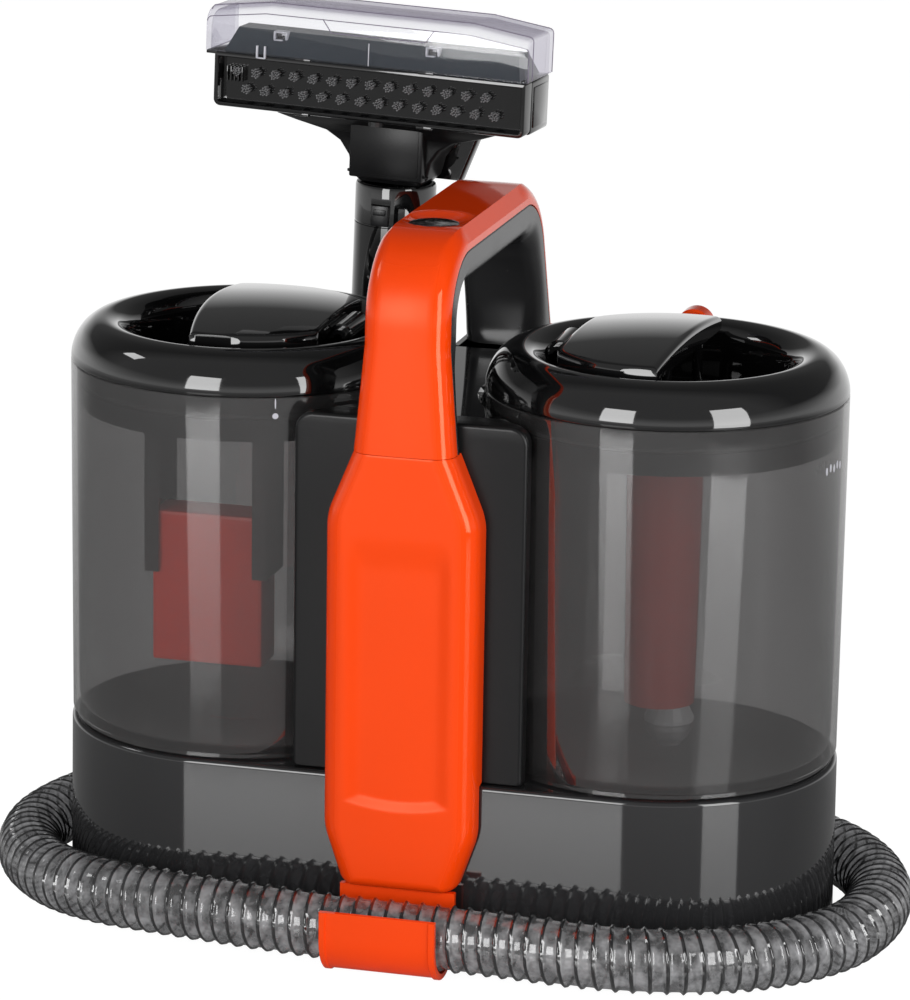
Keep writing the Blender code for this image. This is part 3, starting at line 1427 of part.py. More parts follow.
def clear_cover():
    """Transparent hood of the nozzle, with slanted shoulders."""
    half = HEAD_WIDTH / 2 + 0.0008
    low = HEAD_TOP + SEAT
    front = HEAD_FRONT - 0.0004
    back = HEAD_FRONT + HEAD_DEPTH
    shoulder = 0.0270
    def ring(y, inset, lift):
        top = TOOL_COVER_TOP - lift
        left = half + HOOD_OVERHANG - inset
        points = [(-left, low), (half - inset, low), (half - inset, top - 0.0036),
                  (half - shoulder, top), (-left + shoulder, top), (-left, top - 0.0036)]
        return [(TOOL_X + x, y, z) for x, z in points]
    outer = [ring(back, 0.0, 0.0), ring(front + 0.0060, 0.0, 0.0), ring(front, 0.0006, 0.0050)]
    bm = bmesh.new()
    add_loft(bm, outer)
    cover = finish("clear_cover", bm, clear_plastic())
    thin = 0.0016
    inner_half = half - thin
    hollow = []
    for y, lift in ((back + 0.01, 0.0), (front + 0.0065, 0.0), (front + thin, 0.0050)):
        top = TOOL_COVER_TOP - thin - lift
        left = inner_half + HOOD_OVERHANG
        points = [(-left, low - 0.01), (inner_half, low - 0.01), (inner_half, top - 0.0036),
                  (inner_half - shoulder, top), (-left + shoulder, top), (-left, top - 0.0036)]
        hollow.append([(TOOL_X + x, y, z) for x, z in points])
    boolean(cover, "DIFFERENCE", loft("cover_hollow", hollow, clear_plastic()))
    turned(cover)
    turned(cover.modifiers[0].object)
    return cover


def spray_housing():
    """Water valve housing behind the neck's right side, narrower towards its foot."""
    front = TOOL_Y + 0.0110 + SEAT
    back = TOOL_Y + 0.0180
    sections = []
    for z, side in ((TUBE_TOP + 2 * SEAT, 0.0255), (HEAD_BOTTOM - 0.0120, 0.0330), (HEAD_BOTTOM - 0.0010, 0.0370)):
        plan = rounded([(0.0060, front - TOOL_Y), (side, front - TOOL_Y), (side, back - TOOL_Y),
                        (0.0060, back - TOOL_Y)], 0.0012, 2)
        sections.append([(TOOL_X + p.x, TOOL_Y + p.y, z) for p in plan])
    return turned(loft("spray_housing", sections, black_gloss()))


def trigger_parts():
    """Spray trigger in a slot at the back of the tube, hinged at its top on a cross pin."""
    face = TRIGGER_PIN_Y + 0.0022
    inner = TRIGGER_PIN_Y - 0.0020
    profile = [
        (face, TRIGGER_PIN_Z + 0.0026),
        (inner, TRIGGER_PIN_Z + 0.0026),
        (inner, TRIGGER_PIN_Z - 0.0080),
        (inner + 0.0012, TRIGGER_PIN_Z - TRIGGER_LENGTH + 0.0030),
        (inner + 0.0022, TRIGGER_PIN_Z - TRIGGER_LENGTH),
        (face, TRIGGER_PIN_Z - TRIGGER_LENGTH),
        (face - 0.0010, TRIGGER_PIN_Z - 0.5 * TRIGGER_LENGTH),
    ]
    blade = bmesh.new()
    half = TRIGGER_HALF_WIDTH
    add_loft(blade, [[(TOOL_X + x, y, z) for y, z in profile] for x in (-half, half)])
    trigger = finish("spray_trigger", blade, black_gloss())
    cut_bar(trigger, (TOOL_X - 0.02, TRIGGER_PIN_Y, TRIGGER_PIN_Z), (TOOL_X + 0.02, TRIGGER_PIN_Y, TRIGGER_PIN_Z),
            TRIGGER_PIN_RADIUS + SEAT, 12)
    place_at(trigger, TOOL_X, TRIGGER_PIN_Y, TRIGGER_PIN_Z)
    reach = TRIGGER_HALF_WIDTH + 0.0028
    bar("trigger_pin", (TOOL_X - reach, TRIGGER_PIN_Y, TRIGGER_PIN_Z), (TOOL_X + reach, TRIGGER_PIN_Y, TRIGGER_PIN_Z),
        TRIGGER_PIN_RADIUS, steel(), 12)


def head_latch():
    """Push button in the front of the tube, which frees the head."""
    front = TOOL_Y - TOOL_RADIUS - LATCH_PROUD
    low = (LATCH_X - LATCH_WIDTH / 2, front, LATCH_Z - LATCH_HEIGHT / 2)
    high = (LATCH_X + LATCH_WIDTH / 2, front + 0.0036, LATCH_Z + LATCH_HEIGHT / 2)
    return box("head_latch", low, high, satin_grey(), 0.0004)


def spray_nozzle():
    """Fan-jet nozzle under the head, in front of the neck."""
    y = HEAD_FRONT + BRUSH_THICKNESS + 0.0038
    return turned(bar("spray_nozzle", (TOOL_X, y, HEAD_BOTTOM - SEAT), (TOOL_X, y, HEAD_BOTTOM - 0.0036),
                      0.0034, satin_grey(), 12))


def tool_cuff():
    axis = Vector((TOOL_X, TOOL_Y, 0))
    top = TUBE_BOTTOM - SEAT
    low = top - CUFF_LENGTH
    profile = [
        (0.0, low),
        (CUFF_RADIUS - 0.0010, low),
        (CUFF_RADIUS, low + 0.0010),
        (CUFF_RADIUS, top - 0.0020),
        (CUFF_RADIUS - 0.0010, top),
        (0.0, top),
    ]
    return lathe("tool_cuff", profile, black_gloss(), axis, 24)


def tool_dock():
    """Ring on the rear cover that the tool's tube stands in, open at the back for the hose."""
    inner = TOOL_RADIUS + 0.0006
    outer = REACH - TOOL_Y
    low = DOCK_BOTTOM
    high = DOCK_TOP
    profile = [(inner, low), (outer, low), (outer, high), (inner, high)]
    dock = lathe("tool_dock", profile, black_gloss(), Vector((TOOL_X, TOOL_Y, 0)), 28)
    dock.data.transform(lean())
    middle = TOOL_X + math.sin(TOOL_LEAN) * ((low + high) / 2 - CUFF_BOTTOM)
    arm_end = -rear_half_width(low) - SEAT
    join_box(dock, (middle + outer - 0.0030, TOOL_Y - 0.0090, low + 0.0015), (arm_end, TOOL_Y - 0.0020, high - 0.0015))
    return dock


# --- hose ---------------------------------------------------------------------------------
HOSE_ROUTE = [
    (-0.0576, 0.0930, 0.1236), (-0.0578, 0.0930, 0.1100), (-0.0540, 0.0931, 0.0840), (-0.0400, 0.0933, 0.0575),
    (-0.0190, 0.0937, 0.0345), (0.0070, 0.0945, 0.0195), (0.0400, 0.0960, 0.0148), (0.0720, 0.0972, 0.0142),
    (0.1040, 0.0958, 0.0142), (0.1350, 0.0860, 0.0142), (0.1620, 0.0650, 0.0142), (0.1800, 0.0340, 0.0142),
    (0.1855, 0.0000, 0.0142), (0.1790, -0.0350, 0.0143), (0.1600, -0.0640, 0.0148), (0.1350, -0.0850, 0.0160),
    (0.1065, -0.0970, 0.0172), (0.0800, -0.1000, 0.0178), (0.0530, -0.0988, 0.0180), (0.0245, -0.0980, 0.0180),
    (0.0000, -0.0980, 0.0180), (-0.0245, -0.0978, 0.0180), (-0.0500, -0.0965, 0.0183), (-0.0780, -0.0938, 0.0186),
    (-0.1050, -0.0895, 0.0184), (-0.1310, -0.0812, 0.0172), (-0.1545, -0.0655, 0.0155), (-0.1725, -0.0440, 0.0145),
    (-0.1830, -0.0185, 0.0142), (-0.1852, 0.0080, 0.0142), (-0.1780, 0.0380, 0.0142), (-0.1610, 0.0660, 0.0144),
    (-0.1360, 0.0870, 0.0150), (-0.1080, 0.0960, 0.0162), (-0.0820, 0.0975, 0.0177), (-0.0672, 0.0975, 0.0178),
]


def hose():
    look = material("hose_grey", (0.18, 0.18, 0.18), 0.3)
    return tube_curve("suction_hose", HOSE_ROUTE, HOSE_DIAMETER / 2, look, 0.0240, 2)


# --- the whole machine --------------------------------------------------------------------
def build():
    clear_scene()
    base_shell()
    bottom_plate()
    feet()
    tower()
    front_panel()
    front_cover()
    handle()
    power_button()
    power_switch()
    rear_cover()
    exhaust_filter()
    hose_clip()
    hose_port()
    cord_gland()
    suction_motor()
    fan_housing()
    fan_impeller()
    water_pump()
    pump_hoses()
    valve_socket()
    duct("air_duct", 0.0, 0.0, AIR_DUCT_HALF, AIR_DUCT_HALF + 0.008, satin_grey())
    duct("dirty_duct", DIRTY_DUCT_X, DIRTY_DUCT_Y, AIR_DUCT_HALF - 0.0005, AIR_DUCT_HALF, satin_grey())
    control_board()
    for side, axis, inboard, edge in (("recovery", LEFT_AXIS, 1, RECOVERY_GRIP_EDGE),
                                      ("clean", RIGHT_AXIS, -1, CLEAN_GRIP_EDGE)):
        vessel = tank(side + "_tank", axis)
        lid(side + "_lid", axis, inboard)
        lid_seal(side + "_lid_seal", axis)
        lid_grip(side + "_lid_grip", axis, inboard, edge)
        grip_pin(side + "_grip_pin", axis, inboard)
        if side == "clean":
            low = (VALVE_X, VALVE_Y, TANK_BOTTOM - 0.01)
            cut_bar(vessel, low, (VALVE_X, VALVE_Y, TANK_BOTTOM + 0.01), VALVE_RADIUS)
    float_cage()
    float_block()
    filler_neck()
    dosing_tube()
    tank_valve()
    lid_latch()
    tool_tube()
    tool_neck()
    tool_head()
    brush_plate()
    ramp_plate()
    clear_cover()
    spray_housing()
    trigger_parts()
    head_latch()
    spray_nozzle()
    tool_cuff()
    lean_tool()
    tool_dock()
    hose()


build()
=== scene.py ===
# Twin-tank spot extractor: the looks of every piece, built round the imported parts
import math

import bmesh
import bpy
from mathutils import Matrix, Vector


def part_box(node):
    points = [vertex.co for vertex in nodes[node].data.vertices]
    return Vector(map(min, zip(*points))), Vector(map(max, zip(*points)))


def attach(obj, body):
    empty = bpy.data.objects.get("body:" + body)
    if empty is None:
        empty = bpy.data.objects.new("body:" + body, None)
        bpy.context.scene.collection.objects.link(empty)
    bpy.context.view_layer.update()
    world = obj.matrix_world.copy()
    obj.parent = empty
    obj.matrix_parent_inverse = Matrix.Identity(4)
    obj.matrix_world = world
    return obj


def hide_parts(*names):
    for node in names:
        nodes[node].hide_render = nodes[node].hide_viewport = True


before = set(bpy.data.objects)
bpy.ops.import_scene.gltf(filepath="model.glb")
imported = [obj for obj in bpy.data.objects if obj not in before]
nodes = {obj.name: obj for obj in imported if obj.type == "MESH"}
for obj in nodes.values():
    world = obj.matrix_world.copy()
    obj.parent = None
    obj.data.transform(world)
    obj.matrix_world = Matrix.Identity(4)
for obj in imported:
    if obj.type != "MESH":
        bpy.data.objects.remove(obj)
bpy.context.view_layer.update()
print("frame loaded:", len(nodes), "parts")


class Sizes(dict):
    # a dictionary whose values can also be read as names
    __getattr__ = dict.__getitem__


def stand(name, data):
    made = bpy.data.objects.new(name, data)
    bpy.context.scene.collection.objects.link(made)
    return made


camera = Sizes(target=(0.0, 0.0, 0.166), azimuth=14.7057, elevation=15.1032, distance=2.1027, roll=0.9246,
               lens=179.63, shiftX=0.0008, shiftY=0.0253)


def makeCamera(c):
    az, el, roll = (math.radians(angle) for angle in (c.azimuth, c.elevation, c.roll))
    back = Vector((math.sin(az) * math.cos(el), -math.cos(az) * math.cos(el), math.sin(el)))
    right = Vector((math.cos(az), math.sin(az), 0.0))
    up = back.cross(right)
    tiltedRight = right * math.cos(roll) + up * math.sin(roll)
    tiltedUp = up * math.cos(roll) - right * math.sin(roll)
    turn = Matrix((tiltedRight, tiltedUp, back)).transposed().to_4x4()
    data = bpy.data.cameras.new("camera")
    data.lens, data.sensor_width, data.sensor_fit = c.lens, 36.0, "AUTO"
    data.shift_x, data.shift_y = c.shiftX, c.shiftY
    data.clip_start, data.clip_end = 0.05, 30.0
    holder = stand("camera", data)
    holder.matrix_world = Matrix.Translation(Vector(c.target) + back * c.distance) @ turn
    bpy.context.scene.camera = holder


makeCamera(camera)


class Wire:
    # a socket that can be used in sums
    def __init__(self, graph, socket):
        self.graph, self.socket = graph, socket

    def sum(self, operation, first, second=0.0):
        return self.graph.node("Math", {"operation": operation}, {0: first, 1: second})

    def __add__(self, other): return self.sum("ADD", self, other)
    def __radd__(self, other): return self.sum("ADD", other, self)
    def __sub__(self, other): return self.sum("SUBTRACT", self, other)
    def __rsub__(self, other): return self.sum("SUBTRACT", other, self)
    def __mul__(self, other): return self.sum("MULTIPLY", self, other)
    def __rmul__(self, other): return self.sum("MULTIPLY", other, self)
    def __pow__(self, other): return self.sum("POWER", self, other)
    def __gt__(self, other): return self.sum("GREATER_THAN", self, other)
    def __lt__(self, other): return self.sum("LESS_THAN", self, other)
    def __abs__(self): return self.sum("ABSOLUTE", self)

    def most(self, other):
        return self.sum("MAXIMUM", self, other)

    def out(self, name):
        return Wire(self.graph, self.socket.node.outputs[name])

    def parts(self, take=0):
        return self.graph.node("SeparateXYZ", None, {"Vector": self}, take)

    def between(self, low, high):
        # 0 below low, 1 above high
        return self.graph.node("MapRange", {"clamp": True}, {"Value": self, "From Min": low, "From Max": high})


class Graph:
    # the nodes of one material, or of the world
    def __init__(self, name, world=None):
        self.material = world or bpy.data.materials.new(name)
        self.material.use_nodes = True
        self.tree = self.material.node_tree
        self.tree.nodes.clear()

    def node(self, kind, settings=None, values=None, take=0):
        made = self.tree.nodes.new("ShaderNode" + kind)
        for key, value in (settings or {}).items():
            setattr(made, key, value)
        for key, value in (values or {}).items():
            socket = made.inputs[key]
            if isinstance(value, Wire):
                self.tree.links.new(value.socket, socket)
            else:
                socket.default_value = (*value, 1.0) if socket.type == "RGBA" and len(value) == 3 else value
        return Wire(self, made.outputs[take]) if made.outputs else made

    def place(self, scale=None):
        where = self.node("TexCoord", take="Object")
        return self.node("Mapping", None, {"Vector": where, "Scale": scale}) if scale else where

    def noise(self, scale, detail=3.0, rough=0.55, at=None):
        return self.node("TexNoise", None,
                         {"Vector": at or self.place(), "Scale": scale, "Detail": detail, "Roughness": rough})

    def mix(self, factor, first, second):
        return self.node("Mix", {"data_type": "RGBA"}, {0: factor, 6: first, 7: second}, 2)

    def blend(self, share, first, second):
        return self.node("MixShader", None, {0: share, 1: first, 2: second})

    def bump(self, height, strength, depth):
        return self.node("Bump", None, {"Height": height, "Strength": strength, "Distance": depth})

    def plastic(self, **values):
        return self.node("BsdfPrincipled", None, {key.replace("_", " "): value for key, value in values.items()})

    def finish(self, **values):
        return self.output(self.plastic(**values))

    def output(self, shader):
        isWorld = isinstance(self.material, bpy.types.World)
        self.node("OutputWorld" if isWorld else "OutputMaterial", None, {"Surface": shader})
        return self.material


# what a moulding has where its own look says nothing else
usualMoulding = dict(polish=0.0, glint=(1.0, 1.0, 1.0), specular=0.5, coat=0.0, peel=0.05, peelScale=420.0,
                     peelDepth=0.0002, smear=0.06, shade=0.12)


def moulded(look):
    # injection-moulded plastic: faint flow marks, handling marks in the gloss, orange-peel or spark-eroded skin
    look = Sizes(usualMoulding, **look)
    g = Graph(look.name)
    flow, handled, fine = g.noise(9.0, 2.0), g.noise(60.0, 6.0, 0.7), g.noise(look.peelScale, 2.0)
    dark = tuple(c * (1.0 - look.shade) for c in look.colour)
    rough = look.rough + handled.between(0.52, 0.74) * look.smear
    if look.polish:
        # side edges and the top rubbed brighter by hands
        way = g.node("NewGeometry", take="Normal").parts()
        rough = rough - abs(way).between(0.22, 0.5).most(way.out("Z").between(0.6, 0.9)) * look.polish
    return g.finish(Base_Color=g.mix(flow.between(0.35, 0.65), dark, look.colour), Roughness=rough,
                    Normal=g.bump(fine, look.peel, look.peelDepth), Coat_Weight=look.coat, Coat_Roughness=0.03,
                    Specular_IOR_Level=look.specular, Specular_Tint=look.glint)


def seeThrough(look):
    # clear plastic: a tint, a mirror share that grows towards the edges, and a little haze and dust on it
    g = Graph(look.name)
    haze, fine = g.noise(26.0, 5.0, 0.65), g.noise(320.0, 2.0)
    facing = g.node("LayerWeight", None, {"Blend": 0.5}, 1)
    path = g.node("LightPath")
    lit = path.out("Is Shadow Ray").most(path.out("Is Diffuse Ray"))
    tinted, unlit, edged = (g.node("BsdfTransparent", None, {"Color": tint})
                            for tint in (look.tint, look.lightTint, look.edgeTint))
    seen = g.blend((facing ** look.edgePower) * look.edgeShare, tinted, edged)
    clear = g.blend(lit, seen, unlit)
    mirror = g.plastic(Base_Color=(0.96, 0.96, 0.96), Metallic=1.0,
                       Roughness=look.rough + haze.between(0.5, 0.8) * 0.05, Normal=g.bump(fine, 0.02, 0.0002))
    body = g.plastic(Base_Color=g.mix(haze.between(0.35, 0.75), look.haze, tuple(c * 0.8 for c in look.haze)),
                     Roughness=0.5, Specular_IOR_Level=0.0)
    hazy = g.blend(look.body * (0.7 + haze.between(0.3, 0.8) * 0.6), clear, body)
    shine = look.shine + (facing ** 5.0) * (1.0 - look.shine)
    return g.output(g.blend(shine * (1.0 - lit), hazy, mirror))


def brushedSteel():
    g = Graph("brushed steel")
    streaks = g.noise(160.0, 4.0, 0.6, g.place((1.0, 1.0, 12.0)))
    return g.finish(Base_Color=g.mix(streaks, (0.52, 0.52, 0.54), (0.66, 0.66, 0.68)), Metallic=1.0,
                    Roughness=0.24 + streaks * 0.14, Normal=g.bump(streaks, 0.1, 0.0002))


def openFoam():
    g = Graph("filter foam")
    cells = g.node("TexVoronoi", None, {"Vector": g.place(), "Scale": 650.0})
    return g.finish(Base_Color=g.mix(cells, (0.005, 0.005, 0.005), (0.05, 0.05, 0.05)), Roughness=0.95,
                    Normal=g.bump(cells, 0.8, 0.0006))


def circuitBoard():
    g = Graph("circuit board")
    tracks = g.node("TexBrick", None, {"Vector": g.place((90, 90, 90)), "Mortar Size": 0.03})
    return g.finish(Base_Color=g.mix(tracks.out("Fac"), (0.01, 0.12, 0.05), (0.25, 0.3, 0.1)), Roughness=0.4)


mouldings = dict(
    orange=dict(name="orange shell", colour=(0.98, 0.061, 0.002), rough=0.36, polish=0.3, glint=(1.0, 0.66, 0.42),
                peel=0.02, smear=0.03, shade=0.06),
    black=dict(name="black shell", colour=(0.0045, 0.0045, 0.0048), rough=0.045, coat=0.8, peel=0.015, smear=0.04,
               shade=0.3),
    grey=dict(name="grey base shell", colour=(0.018, 0.018, 0.019), rough=0.07, coat=0.5, peel=0.015, smear=0.03),
    handleGrey=dict(name="grey handle core", colour=(0.026, 0.026, 0.027), rough=0.24, specular=0.42, peel=0.03,
                    smear=0.05),
    satin=dict(name="satin panel", colour=(0.0075, 0.0075, 0.008), rough=0.3, specular=0.32, peel=0.12,
               peelScale=900.0, smear=0.05),
    dark=dict(name="dark moulding", colour=(0.01, 0.01, 0.011), rough=0.32, peel=0.15, peelScale=700.0, smear=0.08),
    red=dict(name="red moulding", colour=(1.0, 0.05, 0.018), rough=0.3, peel=0.08, smear=0.08),
    redTube=dict(name="red tube", colour=(0.36, 0.03, 0.02), rough=0.22, smear=0.08),
    valve=dict(name="grey valve", colour=(0.42, 0.42, 0.43), rough=0.3, peel=0.08, smear=0.08),
    slate=dict(name="slate plate", colour=(0.018, 0.028, 0.038), rough=0.22, specular=0.35, peel=0.03),
    rubber=dict(name="soft rubber", colour=(0.012, 0.012, 0.012), rough=0.62, peel=0.35, peelScale=1100.0,
                peelDepth=0.0003, smear=0.1),
    bristle=dict(name="bristles", colour=(0.15, 0.15, 0.155), rough=0.42, peel=0.1, peelScale=1600.0, smear=0.1),
    pale=dict(name="pale clips", colour=(0.55, 0.55, 0.6), rough=0.25, smear=0.08),
    lip=dict(name="hood lips", colour=(0.22, 0.19, 0.26), rough=0.12, peel=0.03, smear=0.08))
smokedTank = Sizes(name="smoked tank wall", tint=(0.575, 0.572, 0.572), lightTint=(0.95, 0.95, 0.95),
                   edgeTint=(0.5, 0.5, 0.5), edgeShare=0.0, edgePower=3.0, haze=(0.28, 0.27, 0.27), body=0.065,
                   rough=0.02, shine=0.115)
clearHood = Sizes(name="clear hood", tint=(0.955, 0.955, 0.97), lightTint=(0.95, 0.95, 0.95),
                  edgeTint=(0.42, 0.38, 0.5), edgeShare=0.95, edgePower=2.6, haze=(0.5, 0.5, 0.56), body=0.018,
                  rough=0.03, shine=0.04)
finish = Sizes({key: moulded(look) for key, look in mouldings.items()}, smoked=seeThrough(smokedTank),
               hood=seeThrough(clearHood), steel=brushedSteel(), foam=openFoam(), board=circuitBoard())
print("finishes ready")


def toMesh(name, bm):
    bmesh.ops.recalc_face_normals(bm, faces=bm.faces)
    mesh = bpy.data.meshes.new(name)
    bm.to_mesh(mesh)
    bm.free()
    return mesh


def piece(name, bm, material, body, node=None, sharp=35.0):
    mesh = toMesh(name, bm)
    mesh.materials.append(material)
    mesh.shade_smooth()
    mesh.set_sharp_from_angle(angle=math.radians(sharp))
    made = stand(name, mesh)
    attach(made, body)
    if node:
        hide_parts(node)
    return made


def clamped(value):
    return max(0.0, min(1.0, value))


def circle(steps):
    return [(math.cos(a), math.sin(a)) for a in (2 * math.pi * i / steps for i in range(steps))]


def quarter(steps):
    # how far a rounded edge has come in and is still to rise, as shares of its radius
    return [(1 - math.cos(a), 1 - math.sin(a)) for a in (math.pi * i / steps / 2 for i in range(steps + 1))]


def skin(bm, rings, caps=(True, True), closed=False):
    # faces between rings of points; a ring may be a single point
    made = [[bm.verts.new(p) for p in ring] for ring in rings]
    for first, second in zip(made, made[1:] + (made[:1] if closed else [])):
        count = max(len(first), len(second))
        for i in range(count if count > 1 else 0):
            j = (i + 1) % count
            corners = (first[i % len(first)], first[j % len(first)], second[j % len(second)], second[i % len(second)])
            bm.faces.new(tuple(dict.fromkeys(corners)))
    for ring, capped in zip((made[0], made[-1]), caps):
        if capped and not closed:
            bm.faces.new(ring)
    return made


def lathe(bm, profile, steps, x=0.0, closed=True):
    # profile: (radius, height) pairs, turned about an upright axis
    skin(bm, [[(x + r * c, r * s, z) for c, s in circle(steps)] if r > 1e-6 else [(x, 0.0, z)] for r, z in profile],
         (False, False), closed)


def rod(bm, start, end, radius, steps=24, edge=0.0):
    start, end = Vector(start), Vector(end)
    along = (end - start).normalized()
    side = along.orthogonal().normalized()
    other = along.cross(side)
    spots = [(start, radius), (end, radius)]
    if edge:
        spots = [(start, radius - edge), (start + along * edge, radius), (end - along * edge, radius),
                 (end, radius - edge)]
    skin(bm, [[at + r * (c * side + s * other) for c, s in circle(steps)] for at, r in spots])


def slab(bm, low, high, edge=0.0, steps=2):
    xs, ys, zs = (sorted(pair) for pair in zip(low, high))
    verts = [bm.verts.new((x, y, z)) for z in zs for y in ys for x in xs]
    faces = [bm.faces.new([verts[i] for i in f])
             for f in ((0, 2, 3, 1), (4, 5, 7, 6), (0, 1, 5, 4), (2, 6, 7, 3), (0, 4, 6, 2), (1, 3, 7, 5))]
    if edge:
        edges = list(dict.fromkeys(e for f in faces for e in f.edges))
        bmesh.ops.bevel(bm, geom=verts + edges, offset=edge, segments=steps, affect="EDGES", profile=0.5)


def corners(left, right, low, high):
    return [(left, low), (right, low), (right, high), (left, high)]


def arc(before, corner, after, radius, steps):
    a, b = (before - corner).normalized(), (after - corner).normalized()
    half = a.angle(b) / 2
    reach = min(radius / math.tan(half), 0.49 * (before - corner).length, 0.49 * (after - corner).length)
    centre = corner + (a + b).normalized() * (reach / math.cos(half))
    first, last = corner + a * reach - centre, corner + b * reach - centre
    return [centre + first.slerp(last, i / steps).normalized() * first.length for i in range(steps + 1)]


def rounded(points, radii, steps):
    # a flat closed outline with its corners turned into arcs
    points, outline = [Vector(p) for p in points], []
    for i, corner in enumerate(points):
        radius = radii[i] if isinstance(radii, list) else radii
        outline += arc(points[i - 1], corner, points[(i + 1) % len(points)], radius, steps)
    return outline


def softened(profile, steps, reach):
    # rounds the corners of an open (radius, height) line
    line = [Vector(p) for p in profile]
    out = [line[0]]
    for before, corner, after in zip(line, line[1:], line[2:]):
        first, last = corner.lerp(before, reach), corner.lerp(after, reach)
        for t in (i / steps for i in range(steps + 1)):
            out.append(first * (1 - t) ** 2 + corner * 2 * t * (1 - t) + last * t * t)
    return [tuple(p) for p in out + line[-1:]]


def smoothRoute(route, spacing):
    # evenly spaced points on a smooth curve through the route
    points = [Vector(p) for p in route]
    ends = [2 * points[0] - points[1]] + points + [2 * points[-1] - points[-2]]
    fine = []
    for p, q, r, s in zip(ends, ends[1:], ends[2:], ends[3:]):
        for t in (i / 24 for i in range(24)):
            fine.append(0.5 * (2 * q + (r - p) * t + (2 * p - 5 * q + 4 * r - s) * t * t
                               + (3 * q - p - 3 * r + s) * t ** 3))
    fine.append(points[-1])
    length = sum((b - a).length for a, b in zip(fine, fine[1:]))
    count = max(2, round(length / spacing))
    even, travelled = [fine[0]], 0.0
    for a, b in zip(fine, fine[1:]):
        step = (b - a).length
        while len(even) < count and travelled + step >= length * len(even) / count:
            even.append(a.lerp(b, (length * len(even) / count - travelled) / step))
        travelled += step
    return even + [fine[-1]], length


def directions(points):
    return [(points[min(i + 1, len(points) - 1)] - points[max(i - 1, 0)]).normalized() for i in range(len(points))]


def field(bm, us, vs, front, back):
    # a plate between two surfaces over the same grid, closed round its edges
    grids = [[[bm.verts.new(side(u, v)) for u in us] for v in vs] for side in (front, back)]
    for grid in grids:
        for low, high in zip(grid, grid[1:]):
            for i in range(len(us) - 1):
                bm.faces.new((low[i], low[i + 1], high[i + 1], high[i]))
    rims = [grid[0] + [row[-1] for row in grid[1:-1]] + grid[-1][::-1] + [row[0] for row in grid[-2:0:-1]]
            for grid in grids]
    for i in range(len(rims[0])):
        bm.faces.new((rims[0][i - 1], rims[0][i], rims[1][i], rims[1][i - 1]))


def eased(count, power):
    # from -1 to 1, closer together towards both ends
    spread = [math.sin(math.pi * (i / count - 0.5)) for i in range(count + 1)]
    return [power * s + (1 - power) * (2 * i / count - 1) for i, s in enumerate(spread)]


def roundOver(distance, radius):
    # how far a rounded edge has dropped at a distance from the outline
    away = 1.0 - min(1.0, max(0.0, distance) / radius)
    return radius * (1.0 - math.sqrt(max(0.0, 1.0 - away * away)))


def carve(bm, *cutters):
    # cuts the cutters' bodies out of the shape
    holder, *tools = [stand("cut", toMesh("cut", shape)) for shape in (bm, *cutters)]
    for tool in tools:
        change = holder.modifiers.new("cut", "BOOLEAN")
        change.operation, change.solver, change.object = "DIFFERENCE", "EXACT", tool
    result = bmesh.new()
    result.from_object(holder, bpy.context.evaluated_depsgraph_get())
    for used in (holder, *tools):
        bpy.data.meshes.remove(used.data)
    return result


hose = Sizes(
    route=[
        (-0.0576, 0.0930, 0.1236), (-0.0578, 0.0930, 0.1100), (-0.0540, 0.0931, 0.0840), (-0.0400, 0.0933, 0.0575),
        (-0.0190, 0.0937, 0.0345), (0.0070, 0.0945, 0.0195), (0.0400, 0.0960, 0.0148), (0.0720, 0.0972, 0.0142),
        (0.1040, 0.0958, 0.0142), (0.1350, 0.0860, 0.0142), (0.1620, 0.0650, 0.0142), (0.1800, 0.0340, 0.0142),
        (0.1855, 0.0000, 0.0142), (0.1790, -0.0350, 0.0143), (0.1600, -0.0640, 0.0148), (0.1350, -0.0850, 0.0160),
        (0.1065, -0.0970, 0.0172), (0.0800, -0.1000, 0.0178), (0.0530, -0.0988, 0.0180), (0.0245, -0.0980, 0.0180),
        (0.0000, -0.0980, 0.0180), (-0.0245, -0.0978, 0.0180), (-0.0500, -0.0965, 0.0183),
        (-0.0780, -0.0938, 0.0186), (-0.1050, -0.0895, 0.0184), (-0.1310, -0.0812, 0.0172),
        (-0.1545, -0.0655, 0.0155), (-0.1725, -0.0440, 0.0145), (-0.1830, -0.0185, 0.0142),
        (-0.1852, 0.0080, 0.0142), (-0.1780, 0.0380, 0.0142), (-0.1610, 0.0660, 0.0144), (-0.1360, 0.0870, 0.0150),
        (-0.1080, 0.0960, 0.0162), (-0.0820, 0.0975, 0.0177), (-0.0672, 0.0975, 0.0178)],
    radius=0.014, ribPitch=0.0067, ribHeight=0.0013, ribWidth=0.2, stepsPerRib=10, sides=40, calmEnd=0.01,
    filmDark=(0.1, 0.1, 0.102), filmPale=(0.46, 0.46, 0.47), ribColour=(0.012, 0.012, 0.013),
    filmTint=(0.55, 0.55, 0.56), filmBody=0.6)


def hoseFinish(h):
    # smoky clear film between the turns of a dark wire rib
    g = Graph("smoky hose film")
    ribShare = g.node("Attribute", {"attribute_name": "rib"}, take="Fac").between(0.34, 0.58)
    blotch = g.noise(120.0, 3.0, 0.6)
    film = g.mix(blotch.between(0.38, 0.64), h.filmDark, h.filmPale)
    body = g.plastic(Base_Color=g.mix(ribShare, film, h.ribColour), Coat_Weight=1.0, Coat_Roughness=0.03,
                     Roughness=0.06 + blotch.between(0.5, 0.8) * 0.1, Specular_IOR_Level=0.8,
                     Normal=g.bump(g.noise(260.0, 2.0, 0.5), 0.3, 0.0006))
    clear = g.node("BsdfTransparent", None, {"Color": h.filmTint})
    return g.output(g.blend(h.filmBody + ribShare * (1.0 - h.filmBody), clear, body))


